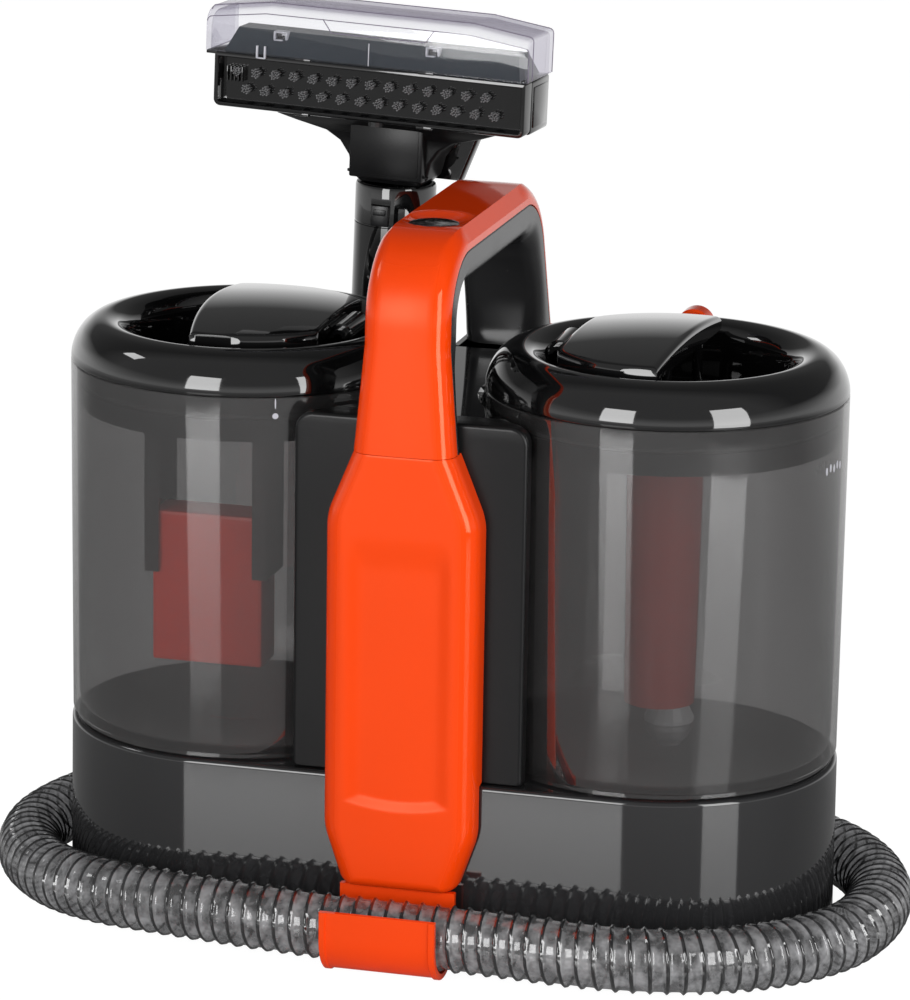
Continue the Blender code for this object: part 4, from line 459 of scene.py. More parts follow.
def makeHose(h):
    points, length = smoothRoute(h.route, h.ribPitch / h.stepsPerRib)
    tangents = directions(points)
    side = tangents[0].orthogonal().normalized()
    bm = bmesh.new()
    ribLayer = bm.verts.layers.float.new("rib")
    rings, ribs = [], []
    for i, (centre, along) in enumerate(zip(points, tangents)):
        side = (side - along * side.dot(along)).normalized()  # turned as little as the bend allows
        other = along.cross(side)
        travelled = i * length / (len(points) - 1)
        calm = min(1.0, travelled / h.calmEnd, (length - travelled) / h.calmEnd)
        ring = []
        for k, (c, s) in enumerate(circle(h.sides)):
            phase = (travelled / h.ribPitch - k / h.sides) % 1.0
            rib = math.exp(-(min(phase, 1.0 - phase) / h.ribWidth * 1.6) ** 2)
            ring.append(centre + (h.radius - h.ribHeight * (1.0 - rib) * calm) * (c * side + s * other))
            ribs.append(rib)
        rings.append(ring)
    for vert, rib in zip((v for ring in skin(bm, rings) for v in ring), ribs):
        vert[ribLayer] = rib
    made = piece("hose", bm, hoseFinish(h), "base", "suction_hose", 60.0)
    print("hose:", round(length, 3), "m,", len(points), "rings")
    return made, length, [tuple(p) for p in points[::6]] + [tuple(points[-1])]


hoseMade, hoseLength, hosePath = makeHose(hose)

# shared sizes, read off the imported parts
tankLow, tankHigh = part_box("clean_tank")
axes = Sizes(recovery=-(tankLow.x + tankHigh.x) / 2, clean=(tankLow.x + tankHigh.x) / 2)
tank = Sizes(radius=(tankHigh.x - tankLow.x) / 2, low=tankLow.z, high=tankHigh.z, wall=0.0024, floor=0.0036,
             footInset=0.0022, footHeight=0.0022, steps=128)
seat = 0.0003  # the air where one piece sits on another
base = Sizes(radius=0.0755, flare=0.0005, wall=0.0024, deck=0.003, rim=0.002, low=0.0035, high=0.0768, steps=64)


def stadium(radius, z, steps):
    points = []
    for axisX, first in ((axes.clean, -90.0), (axes.recovery, 90.0)):
        for a in (math.radians(first + 180.0 * i / steps) for i in range(steps + 1)):
            points.append((axisX + radius * math.cos(a), radius * math.sin(a), z))
    return points


def makeBase(b):
    foot, top = b.radius + b.flare, b.high - b.rim
    side = [(foot - b.wall, b.low), (foot, b.low), (b.radius, top)]
    side += [(b.radius - b.rim * away, b.high - b.rim * drop) for away, drop in quarter(6)[1:]]
    side.append((b.radius - b.wall - 0.001, b.high))
    inside = [(foot - b.wall, b.low), (b.radius - b.wall, b.high - b.deck)]
    bm = bmesh.new()
    shells = [skin(bm, [stadium(r, z, b.steps) for r, z in line], (False, True)) for line in (side, inside)]
    bmesh.ops.remove_doubles(bm, verts=shells[0][0] + shells[1][0], dist=1e-6)
    piece("baseShell", bm, finish.grey, "base", "base_shell", 40.0)


makeBase(base)


def makeTank(name, axisX, body, node):
    t = tank
    r, low, step, deck = t.radius, t.low, t.low + t.footHeight, t.low + t.floor
    foot, inner = r - t.footInset, r - t.wall
    line = [(0.0, low + 0.0006), (foot - 0.012, low + 0.0006), (foot - 0.0135, low), (foot - 0.0006, low),
            (foot, low + 0.0006), (foot, step), (r - 0.0009, step + 0.0004), (r - 0.0004, step + 0.0014),
            (r, t.high - 0.0004), (r - 0.0004, t.high), (inner, t.high), (inner - 0.0006, deck + 0.006),
            (inner - 0.0014, deck + 0.0022), (inner - 0.0036, deck + 0.0004), (inner - 0.006, deck), (0.03, deck),
            (0.0292, deck + 0.0007), (0.0272, deck + 0.0007), (0.0264, deck), (0.0, deck)]
    bm = bmesh.new()
    lathe(bm, line, t.steps, axisX, closed=False)
    piece(name, bm, finish.smoked, body, node, 30.0)


makeTank("recoveryTank", axes.recovery, "recovery_tank", "recovery_tank")
makeTank("cleanTank", axes.clean, "clean_tank", "clean_tank")

lid = Sizes(ring=0.0174, crown=0.061, bowl=0.011, skirt=0.0195, skirtGap=0.0005, wall=0.0024, ribs=5, steps=128,
            hinge=0.0433, hingeHigh=0.0145, lugRadius=0.0035, lugInner=0.0133, lugOuter=0.017, postOffset=0.006,
            postY=0.03, postHigh=0.0147, postRadius=0.0022)
latch = Sizes(x=0.0846, y=0.0742, z=0.2419, radius=0.0076, length=0.01, edge=0.0009, air=0.0003, depth=0.0021)


def latchBody(start, end, air, edge):
    bm = bmesh.new()
    rod(bm, (latch.x, latch.y + start, latch.z), (latch.x, latch.y + end, latch.z), latch.radius + air, 40, edge)
    return bm


def makeLid(name, axisX, inboard, body, node):
    r, rim, crown = tank.radius, tank.high + seat, lid.crown
    top, bowl, low = rim + lid.ring, rim - lid.bowl, rim - lid.skirt
    skirt = r - tank.wall - lid.skirtGap
    groove, inner, pitch = skirt - 0.0009, skirt - 0.0022, lid.skirt / (lid.ribs + 1)
    line = softened(
        [(r - 0.0004, rim), (r, rim + 0.0006), (r - 0.0003, rim + 0.0039), (r - 0.0018, rim + 0.0085),
         (r - 0.0048, rim + 0.013), (r - 0.0092, rim + 0.0163), (crown, top), (crown - 0.005, top - 0.0014),
         (crown - 0.0083, top - 0.0046), (crown - 0.01, top - 0.0092), (crown - 0.011, rim + 0.002),
         (crown - 0.0122, bowl + 0.0024), (crown - 0.0145, bowl), (0.03, bowl), (0.0, bowl)], 3, 0.4)
    line += [(0.0, bowl - lid.wall), (crown - 0.0135, bowl - lid.wall + 0.0002), (crown - 0.0098, bowl + 0.001),
             (crown - 0.0086, rim + 0.002), (crown - 0.0077, top - 0.0085), (crown - 0.0062, top - 0.0058),
             (crown - 0.0036, top - 0.0036), (crown, top - 0.0026), (r - 0.0105, rim + 0.0136),
             (r - 0.0071, rim + 0.0112), (inner, rim + 0.0085), (inner, low), (skirt - 0.0006, low)]
    for z in (low + pitch * (i + 0.3) for i in range(lid.ribs)):
        line += [(groove, z), (skirt, z + 0.15 * pitch), (skirt, z + 0.5 * pitch), (groove, z + 0.65 * pitch)]
    line += [(groove, rim - 0.0012), (groove, rim)]
    bm = bmesh.new()
    lathe(bm, line, lid.steps, axisX)
    if inboard < 0:
        bm = carve(bm, latchBody(-latch.depth, 0.05, latch.air, 0.0))
    hingeX, hingeZ, foot = axisX + inboard * lid.hinge, rim + lid.hingeHigh, bowl - 0.0008
    postX = axisX - inboard * lid.postOffset
    for side in (-1, 1):
        near, far, postY = side * lid.lugInner, side * lid.lugOuter, side * lid.postY
        slab(bm, (hingeX - lid.lugRadius, near, foot), (hingeX + lid.lugRadius, far, hingeZ))
        rod(bm, (hingeX, near, hingeZ), (hingeX, far, hingeZ), lid.lugRadius)
        rod(bm, (postX, postY, foot), (postX, postY, rim + lid.postHigh), lid.postRadius, 20)
    piece(name, bm, finish.black, body, node, 32.0)


makeLid("recoveryLid", axes.recovery, 1, "recovery_lid", "recovery_lid")
makeLid("cleanLid", axes.clean, -1, "clean_lid", "clean_lid")
piece("lidLatch", latchBody(0.0, latch.length, 0.0, latch.edge), finish.orange, "lid_latch",
      "lid_latch")

grip = Sizes(radius=0.052, inboard=0.0392, low=0.015, edge=0.0052, crown=0.004, rounding=0.0026, rimGap=0.0052,
             least=0.0012, barrelRadius=0.0052, barrelHalf=0.013, across=44, along=60,
             recovery=(0.011, 0.0205, 0.004), clean=(0.0068, 0.0116, 0.0004))


def makeGrip(name, axisX, inboard, edgeShape, body, node):
    # a crowned plate: a disc cut by the hinge line and by its outboard edge, with a rounded rim
    g, r = grip, grip.radius
    rim = tank.high + seat
    low = rim + g.low
    frontOut, backOut, bulge = edgeShape
    yFront, yBack = -math.sqrt(r * r - frontOut ** 2), math.sqrt(r * r - backOut ** 2)

    def spot(u, v):
        share = (v + 1) / 2
        y = yFront + (yBack - yFront) * share
        chord = math.sqrt(max(0.0, r * r - y * y))
        inner = -min(g.inboard, chord)
        outer = min(frontOut + (backOut - frontOut) * share + 4 * bulge * share * (1 - share), chord)
        return inner + (outer - inner) * (u + 1) / 2, y, inner, outer

    def top(u, v):
        x, y, inner, outer = spot(u, v)
        away = math.hypot(x, y)
        gap = min(outer - x, (r - away) * 1.1, g.rimGap, x - inner + 0.001)
        z = low + g.edge + g.crown * (1 - (away / r) ** 2) - roundOver(gap, g.rounding)
        return Vector((axisX - inboard * x, y, max(z, low + g.least)))

    def bottom(u, v):
        x, y, _, _ = spot(u, v)
        return Vector((axisX - inboard * x, y, low))

    bm = bmesh.new()
    field(bm, eased(g.across, 0.85), [v * 0.9985 for v in eased(g.along, 0.85)], top, bottom)
    hingeX, hingeZ = axisX + inboard * lid.hinge, rim + lid.hingeHigh
    rod(bm, (hingeX, -g.barrelHalf, hingeZ), (hingeX, g.barrelHalf, hingeZ), g.barrelRadius, 40, 0.0006)
    piece(name, bm, finish.black, body, node, 40.0)


makeGrip("recoveryGrip", axes.recovery, 1, grip.recovery, "recovery_grip", "recovery_lid_grip")
makeGrip("cleanGrip", axes.clean, -1, grip.clean, "clean_grip", "clean_lid_grip")

filler = Sizes(radius=0.025, length=0.018, rings=4, taper=0.0006, groove=0.0014, tubeRadius=0.0162, tubeLow=0.098,
               steps=80)


def makeFiller(f):
    # the neck under the clean-water lid, and the dosing tube under the neck
    top, ring = tank.high - lid.bowl - lid.wall, f.length / f.rings
    line = [(0.0, top), (f.radius, top)]
    for i in range(f.rings):
        z, r = top - ring * i, f.radius - f.taper * i
        line += [(r, z - 0.55 * ring), (r - f.groove, z - 0.7 * ring), (r - f.groove, z - ring)]
    line.append((0.0, top - f.length))
    bm = bmesh.new()
    lathe(bm, softened(line, 2, 0.2), f.steps, axes.clean, closed=False)
    piece("fillerNeck", bm, finish.dark, "clean_lid", "filler_neck", 30.0)
    high, r = top - f.length - seat, f.tubeRadius
    bm = bmesh.new()
    lathe(bm, [(r - 0.0016, high), (r - 0.0026, f.tubeLow), (r - 0.0012, f.tubeLow), (r, high)], f.steps, axes.clean)
    piece("dosingTube", bm, finish.redTube, "clean_lid", "dosing_tube", 30.0)


makeFiller(filler)

marks = Sizes(lockAngle=-65.0, lockTop=0.23, dotDrop=0.0052, levelAngle=-12.0, levelStep=2.6, levelTop=0.208,
              proud=0.00012)


def makeMark(name, axisX, body, strokes):
    # each stroke on the tank's wall: (angle, height, half width in degrees, half height)
    bm = bmesh.new()
    for angle, z, wide, tall in strokes:
        rings = []
        for k, lift in ((1.0, -0.0001), (1.0, marks.proud), (0.05, marks.proud)):
            r, spots = tank.radius + lift, [(math.radians(angle + wide * c * k), s) for c, s in circle(20)]
            rings.append([(axisX + r * math.cos(a), r * math.sin(a), z + tall * s * k) for a, s in spots])
        skin(bm, rings)
    piece(name, bm, finish.pale, body, sharp=60.0)


makeMark("lockMark", axes.recovery, "recovery_tank",
         [(marks.lockAngle, marks.lockTop, 0.22, 0.0022),
          (marks.lockAngle, marks.lockTop - marks.dotDrop, 0.95, 0.0012)])
makeMark("levelMarks", axes.clean, "clean_tank",
         [(marks.levelAngle + marks.levelStep * i, marks.levelTop + 0.0008 * (i % 2), 0.5, 0.0017)
          for i in range(-2, 3)])
print("tanks and lids ready")


handle = Sizes(foot=(-0.088, 0.217), front=(-0.0845, 0.3045), rear=(0.0745, 0.304), rearFoot=(0.102, 0.2283),
               frontRadius=0.036, rearRadius=0.041, footHalf=0.0214, half=0.0178, footThick=0.0152, thick=0.0225,
               rearInner=0.072, footSkin=0.01, skin=0.0085, wall=0.0024, footRound=0.0085, crease=0.0056,
               dishX=0.015, dishY=0.0165, dishMiddle=-0.0335, dishDepth=0.0034, across=34, spacing=0.0018,
               legSteps=22, pocketHalf=0.0063, pocketDrop=0.0043)
button = Sizes(y=-0.04, radius=0.0105, gap=0.0003, sunk=0.0006, crown=0.0005, stem=0.003, stemTop=0.0016, steps=64)


def handleFrames(h):
    # frames along the outer face, seen from the side as (y, z), from the front foot to the rear foot
    corners = [Vector(h[k]) for k in ("foot", "front", "rear", "rearFoot")]
    line = [corners[0]]
    for i, radius in ((1, h.frontRadius), (2, h.rearRadius)):
        turn = arc(*corners[i - 1:i + 2], radius, 18)
        count = max(2, round((turn[0] - line[-1]).length / h.spacing))
        line += [line[-1].lerp(turn[0], k / count) for k in range(1, count)] + turn
    bendEnd = len(line) - 1
    line += [line[-1].lerp(corners[3], k / h.legSteps) for k in range(1, h.legSteps + 1)]
    frames, travelled = [], 0.0
    legLength = (corners[1] - corners[0]).length / 2
    for i, (at, along) in enumerate(zip(line, directions(line))):
        if i:
            travelled += (at - line[i - 1]).length
        inward = Vector((along.y, -along.x))
        share = min(1.0, travelled / legLength)
        if share < 0.2:
            inward = Vector((1.0, 0.0)).lerp(inward, share / 0.2).normalized()
        thick = h.footThick + (h.thick - h.footThick) * share ** 3
        if i > bendEnd:
            late = (i - bendEnd) / h.legSteps
            thick += (at.x - h.rearInner - thick) * min(1.0, late / 0.7)
            inward = inward.lerp(Vector((-1.0, 0.0)), max(0.0, (late - 0.7) / 0.3)).normalized()
        frames.append(Sizes(at=at, inward=inward, thick=thick, half=h.footHalf + (h.half - h.footHalf) * share,
                            depth=h.footSkin + (h.skin - h.footSkin) * share, rear=clamped((at.x - 0.06) / 0.03),
                            flat=clamped((at.x + 0.078) / 0.03) * (1.0 - clamped((at.x - 0.04) / 0.04))))
    return frames


def dishAt(h, x, y):
    return h.dishDepth * max(0.0, 1 - (x / h.dishX) ** 2 - ((y - h.dishMiddle) / h.dishY) ** 2)


def mirrored(shape):
    return [(-x, n) for x, n in reversed(shape)]


def makeHandle(h):
    skinRings, coreRings = [], []
    for f in handleFrames(h):
        half, depth, flat = f.half, f.depth, f.flat
        corner = h.footRound + (h.crease - h.footRound) * min(1.0, flat * 1.5)
        edge = []
        for k, (away, drop) in enumerate(quarter(8)):
            soft = (half - corner * away, corner * drop)
            hard = (half - corner * 0.72 * k / 8, corner * (1 - k / 8))
            edge.append(tuple(s + (t - s) * flat for s, t in zip(soft, hard)))
        flatHalf, under = edge[-1][0], h.wall + 0.0006
        top = [(flatHalf * (1 - 2 * i / h.across), "top") for i in range(1, h.across)]
        inner = [(h.wall - half, depth), (h.wall - half, corner + 0.001), (-flatHalf, under)]
        shape = [(half, depth), *edge, *top, *mirrored(edge), (-half, depth), *inner,
                 *((-flatHalf * (1 - 2 * i / 6), "under") for i in range(1, 6)), *mirrored(inner)]
        start, end = depth + seat, f.thick
        fall = min(0.007 + 0.007 * f.rear, (end - start) * 0.7)
        side = [(half - 0.0004, start), (half, start + 0.0005)]
        side += [(half - fall * 0.8 * away, end - fall * drop) for away, drop in quarter(8)]
        inside = [((half - fall * 0.8) * (1 - 2 * i / 10), end) for i in range(1, 10)]
        for rings, outline in ((skinRings, shape), (coreRings, side + inside + mirrored(side))):
            ring = []
            for x, n in outline:
                dish = dishAt(h, x, f.at.x) if f.at.y > 0.28 else 0.0
                if n == "top":
                    n = dish - 0.0004 * (1 - (x / flatHalf) ** 2) * (1 - flat)
                elif n == "under":
                    n = under + dish
                ring.append(Vector((x, *(f.at + f.inward * n))))
            rings.append(ring)
    bm, core, hole, pocket = (bmesh.new() for _ in range(4))
    skin(bm, skinRings)
    high = h.front[1]
    rod(hole, (0, button.y, high - 0.02), (0, button.y, high + 0.02), button.radius + button.gap, button.steps)
    piece("handleSkin", carve(bm, hole), finish.orange, "base", "handle_skin", 28.0)
    skin(core, coreRings)
    side, low = h.pocketHalf, high - h.skin - h.pocketDrop
    slab(pocket, (-side, button.y - side, low), (side, button.y + side, low + 0.02))
    piece("handleCore", carve(core, pocket), finish.handleGrey, "base", "handle_core", 32.0)


makeHandle(handle)


def buttonFinish(b):
    # gloss black with a faint power sign: a ring open at the back with a bar in the gap
    g = Graph("button face")
    x = g.place().parts()
    y = x.out("Y") - b.y
    away = (x * x + y * y) ** 0.5
    ring = (away > 0.003) * (away < 0.0036) * (abs(x) > 0.0011).most(y < 0.0)
    sign = ring.most((abs(x) < 0.00035) * (y > 0.0012) * (y < 0.0046))
    return g.finish(Base_Color=g.mix(sign * 0.8, (0.008, 0.007, 0.007), (0.16, 0.15, 0.15)), Coat_Weight=0.4,
                    Coat_Roughness=0.05, Roughness=0.12 + g.noise(70.0, 6.0, 0.7).between(0.5, 0.75) * 0.1)


def makeButton(b):
    level, low = handle.front[1] - b.sunk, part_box("power_button")[0].z

    def ring(radius, z):
        return [(radius * c, b.y + radius * s, z) for c, s in circle(b.steps)]

    rings = [ring(b.radius * max(share, 0.02), level + b.crown * (1 - share * share) - sink)
             for share, sink in ((0.0, 0.0), (0.35, 0.0), (0.7, 0.0), (0.9, 0.0), (0.97, 0.0002), (1.0, 0.0008))]
    rings += [ring(b.radius, low + b.stemTop), ring(b.stem, low + b.stemTop), ring(b.stem, low)]
    bm = bmesh.new()
    skin(bm, rings)
    piece("powerButton", bm, buttonFinish(b), "power_button", "power_button", 40.0)


makeButton(button)

cover = Sizes(front=-0.088, back=-0.0723, baseBack=-0.0763, baseTop=0.0772, low=0.0325, high=0.2167, half=0.0324,
              neck=0.0214, toe=0.0243, widest=(0.056, 0.1897), rounds=(0.005, 0.026, 0.026), rounding=0.009,
              dentHalf=0.0232, dentLow=0.07, dentSag=0.0034, facetSlope=0.42, dentHigh=0.183, dentDepth=0.0017,
              dentRamp=0.015, rows=220, across=64)


def smoothStep(value):
    t = clamped(value)
    return t * t * (3 - 2 * t)


def makeCover(c):
    # half width at each height, with the bottle's shoulders and toe rounded
    points = [Vector(p) for p in ((0.0, c.low), (c.toe, c.low), (c.half, c.widest[0]), (c.half, c.widest[1]),
                                  (c.neck, c.high))]
    line = []
    for i, radius in enumerate(c.rounds):
        line += arc(points[i], points[i + 1], points[i + 2], radius, 16)
    line.append(points[-1])

    def across(u, v):
        z = c.low + (c.high - c.low) * (v + 1) / 2
        for a, b in zip(line, line[1:]):
            if a.y <= z <= b.y:
                half = a.x + (b.x - a.x) * (z - a.y) / max(1e-9, b.y - a.y)
                return half * u, half, z
        half = line[-1].x if z > line[-1].y else line[0].x
        return half * u, half, z

    def dent(x, z):
        # shallow field: a long ramp at its top, soft sides and a crisp curved facet at its foot
        share = min(1.0, abs(x) / c.dentHalf)
        head = 1 - smoothStep((z - c.dentHigh + c.dentRamp) / c.dentRamp)
        facet = (z - c.dentLow + c.dentSag * (1 - share * share)) * c.facetSlope
        return max(0.0, min(c.dentDepth * head * smoothStep((1 - share) / 0.34), facet))

    def front(u, v):
        x, half, z = across(u, v)
        edgeGap = (half - abs(x)) * (0.97 if z < c.high - 0.004 else 1.0)
        drop = max(roundOver(edgeGap, c.rounding), roundOver(z - c.low + 0.0004, 0.005),
                   roundOver(c.high - z + 0.0002, 0.0007))
        return Vector((x, c.front + drop + dent(x, z), z))

    def back(u, v):
        x, _, z = across(u, v)
        return Vector((x, c.back if z > c.baseTop else c.baseBack, z))

    bm = bmesh.new()
    field(bm, eased(c.across, 0.8), eased(c.rows, 0.45), front, back)
    piece("frontCover", bm, finish.orange, "base", "front_cover", 38.0)


makeCover(cover)

panel = Sizes(front=-0.072, back=-0.0583, low=0.0771, high=0.2285, half=0.049, corner=0.0075, foot=0.0015,
              edge=0.0016, tankGap=0.0015)


def makePanel(p):
    def ring(y, inset, half=p.half):
        plan = corners(inset - half, half - inset, p.low + inset * 0.5, p.high - inset)
        return [(q.x, y, q.y) for q in rounded(plan, [p.foot] * 2 + [p.corner - inset] * 2, 10)]

    clear, front = tank.radius + p.tankGap, p.front + p.edge
    rings = [ring(y, 0.0, min(p.half, axes.clean - math.sqrt(clear ** 2 - y * y)))
             for y in (p.back, -0.0605, -0.063, -0.065, -0.067, -0.069)]
    rings += [ring(front, 0.0)] + [ring(p.front + p.edge * drop, p.edge * away) for away, drop in quarter(5)[1:]]
    bm = bmesh.new()
    skin(bm, rings)
    piece("frontPanel", bm, finish.satin, "base", "front_panel")


makePanel(panel)

clip = Sizes(y=-0.098, z=0.018, bore=0.0146, wall=0.0022, half=0.0245, frontTop=0.0118, backTop=0.0322)


def makeClip(c):
    # a trough open at the top, with a thicker rim at both ends
    def profile(x, extra):
        line = []
        for r, flip in ((c.bore + c.wall + extra, 1), (c.bore, -1)):
            part = [(x, c.y - r, c.z + c.frontTop)]
            for a in (math.radians(180 + 7.5 * i) for i in range(25)):
                part.append((x, c.y + r * math.cos(a), c.z + r * math.sin(a)))
            line += (part + [(x, c.y + r, c.backTop)])[::flip]
        return line

    ends = [(c.half, 0.0), (c.half - 0.0004, 0.0005), (c.half - 0.0024, 0.0005), (c.half - 0.003, -0.0002)]
    bm = bmesh.new()
    skin(bm, [profile(-x, extra) for x, extra in ends] + [profile(x, extra) for x, extra in ends[::-1]])
    piece("hoseClip", bm, finish.orange, "base", "hose_clip", 30.0)


makeClip(clip)
print("handle and front ready")


tool = Sizes(x=-0.0576, y=0.093, lean=1.6, yaw=-5.0, pivot=0.1247, radius=0.0176, wall=0.0022, low=0.15, high=0.293,
             collar=0.1883, headHalf=0.07075, headFront=-0.04, headBack=-0.008, headLow=0.3255, headHigh=0.349,
             hoodHigh=0.3715, hoodWall=0.0016, hoodRound=0.006, shoulder=0.027, trayDepth=0.008, rim=0.002,
             lip=0.00022, pinSlot=0.0066, cuffRadius=0.0165, cuffLength=0.025)


def toolPiece(name, bm, material, node=None, sharp=35.0, body="hand_tool", yaw=True):
    pivot = Matrix.Translation((tool.x, tool.y, tool.pivot))
    place = pivot @ Matrix.Rotation(math.radians(tool.lean), 4, "Y") @ pivot.inverted()
    place = place @ Matrix.Translation((tool.x, tool.y, 0.0))
    bm.transform(place @ Matrix.Rotation(math.radians(tool.yaw), 4, "Z") if yaw else place)
    return piece(name, bm, material, body, node, sharp)


def slabs(rows, bm=None):
    bm = bm or bmesh.new()
    for row in rows:
        slab(bm, *row)
    return bm


def makeTube(t):
    r, z, high, slot = t.radius, t.collar, t.high, t.pinSlot
    line = [(r - t.wall, high), (r - t.wall, t.low), (r, t.low), (r, z), (r + 0.0022, z), (r + 0.0028, z + 0.0006),
            (r + 0.0028, z + 0.0028), (r, z + 0.006), (r, high - 0.018), (r - 0.0003, high - 0.0177),
            (r - 0.0003, high - 0.0172), (r, high - 0.0169), (r, high - 0.0014), (r - 0.0004, high - 0.0004),
            (r - 0.0012, high)]
    bm = bmesh.new()
    lathe(bm, line, 96)
    pinY, pinZ, front = r + 0.0026, high - 0.013, -r - 0.0012
    bm = carve(bm, slabs([((-slot, 0.01, pinZ - 0.046), (slot, 0.03, pinZ + 0.004))]),
               slabs([((-0.0063, -0.03, high - 0.0173), (0.0023, -0.01, high - 0.0077))]))
    slabs([((side * slot, 0.014, pinZ - 0.003), (side * (slot + 0.0022), pinY + 0.0022, pinZ + 0.003), 0.0005)
           for side in (-1, 1)], bm)
    toolPiece("toolTube", bm, finish.black, "tool_tube", 28.0, yaw=False)
    bm = slabs([((-0.006, front, high - 0.017), (0.002, front + 0.0036, high - 0.008), 0.0005),
                ((-0.0048, front - 0.0004, high - 0.0122), (0.0008, front + 0.001, high - 0.0096), 0.0003)])
    toolPiece("headLatch", bm, finish.dark, "head_latch", body="head_latch", yaw=False)


def stack(levels, corner, steps):
    # rounded rectangles one above the other: (height, left, right, front, back)
    bm = bmesh.new()
    skin(bm, [[(p.x, p.y, z) for p in rounded(corners(*sides), corner, steps)] for z, *sides in levels])
    return bm


def makeNeck(t):
    low, top, head = t.high + seat, t.headLow - seat, t.headLow
    bm = stack([(z, -half, half, front, back) for z, half, front, back in (
        (low, 0.014, -0.0095, 0.01), (low + 0.003, 0.0172, -0.0105, 0.011), (low + 0.011, 0.0192, -0.0105, 0.011),
        (top - 0.015, 0.0235, -0.0105, 0.011), (top - 0.011, 0.03, -0.011, 0.01),
        (top - 0.0075, 0.0425, -0.014, 0.008), (top - 0.0045, 0.05, -0.018, 0.005),
        (top, 0.051, -0.022, 0.002))], 0.002, 5)
    slabs([((-0.0168, -0.015, low + 0.0025), (0.0168, -0.006, top - 0.002), 0.0009),
           ((-0.015, -0.0153, low + 0.0045), (0.015, -0.015, top - 0.004), 0.0001)], bm)
    for x in (-0.0178, 0.0178):
        rod(bm, (x, -0.0112, low + 0.004), (x, -0.0112, low + 0.0052), 0.0009, 16, 0.0002)
    toolPiece("toolNeck", bm, finish.satin, "tool_neck", 30.0)
    bm = stack([(z, 0.006, side, 0.0113, 0.018) for z, side in
                ((t.high + 0.0006, 0.0255), (head - 0.012, 0.033), (head - 0.001, 0.037))], 0.0012, 4)
    slab(bm, (0.02, 0.0107, head - 0.01), (0.03, 0.012, head - 0.006), 0.0004)
    rod(bm, (0.0218, 0.01, head - 0.016), (0.0218, 0.0116, head - 0.016), 0.0016, 24, 0.0004)
    toolPiece("sprayHousing", bm, finish.black, "spray_housing", 30.0)


tufts = Sizes(pitch=0.0087, rowPitch=0.0075, rowLow=0.008, perRow=14, shift=-0.002, radius=0.0019, length=0.005,
              root=0.0054, bristles=15, bristleRadius=0.00038, splay=0.35, turn=2.39996)


def makeHead(t):
    y0, half, low, high, deep = t.headFront, t.headHalf, t.headLow, t.headHigh, t.headFront + t.trayDepth
    rings = []
    for depth, inset in ((t.trayDepth, 0.0), (0.0007, 0.0), (0.0002, 0.0002), (0.0, 0.0006), (0.0, t.rim - 0.0003),
                         (0.0004, t.rim), (0.0052, t.rim + 0.0006)):
        plan = rounded(corners(inset - half, half - inset, low + inset, high - inset),
                       [max(0.0004, 0.003 - inset)] * 2 + [max(0.0004, 0.001 - inset)] * 2, 6)
        rings.append([(p.x, y0 + depth, p.y) for p in plan])
    bm = bmesh.new()
    skin(bm, rings)
    middle = (low + high) / 2
    slabs([((x, y0 + 0.0018, middle - 0.0008), (x + 0.0008, y0 + 0.0054, middle + 0.0058), 0.0002)
           for x in (0.005 + 0.0017 * i - half for i in range(5))], bm)
    slabs([((x - 0.0035, y0 - 0.0003, z - 0.0006), (x + 0.0035, y0 + 0.003, z + 0.0006), 0.0002)
           for z in (low, high) for x in (-0.03, 0.026)], bm)
    toolPiece("brushTray", bm, finish.black, "brush_plate", 32.0)
    bm = bmesh.new()
    for row in range(2):
        z = low + tufts.rowLow + tufts.rowPitch * row
        for i in range(tufts.perRow):
            x = (i - (tufts.perRow - 1) / 2 + (-0.25 if row else 0.25)) * tufts.pitch + tufts.shift
            for k in range(tufts.bristles):
                out = math.sqrt((k + 0.5) / tufts.bristles) * (tufts.radius - tufts.bristleRadius)
                a = k * tufts.turn + i * 1.7 + row
                dx, dz, wide = out * math.cos(a), out * math.sin(a), 1 + tufts.splay
                reach = tufts.root - tufts.length * (1 - 0.12 * ((k * 7 + i * 3) % 5) / 4)
                rod(bm, (x + dx, y0 + tufts.root, z + dz), (x + dx * wide, y0 + reach, z + dz * wide),
                    tufts.bristleRadius, 6, 0.00012)
    toolPiece("bristles", bm, finish.bristle, sharp=60.0)
    back = t.headBack
    bm = slabs([((-half, deep + seat, low), (half, back, high), 0.0016, 3),
                ((-half - 0.0042, y0 + 0.001, high - 0.0013), (0.003 - half, back - 0.004, high + 0.0001), 0.0003),
                ((half - 0.0004, deep + 0.003, low + 0.003), (half + 0.0006, back - 0.003, high - 0.003), 0.0004)])
    toolPiece("headBody", bm, finish.black, "tool_head")


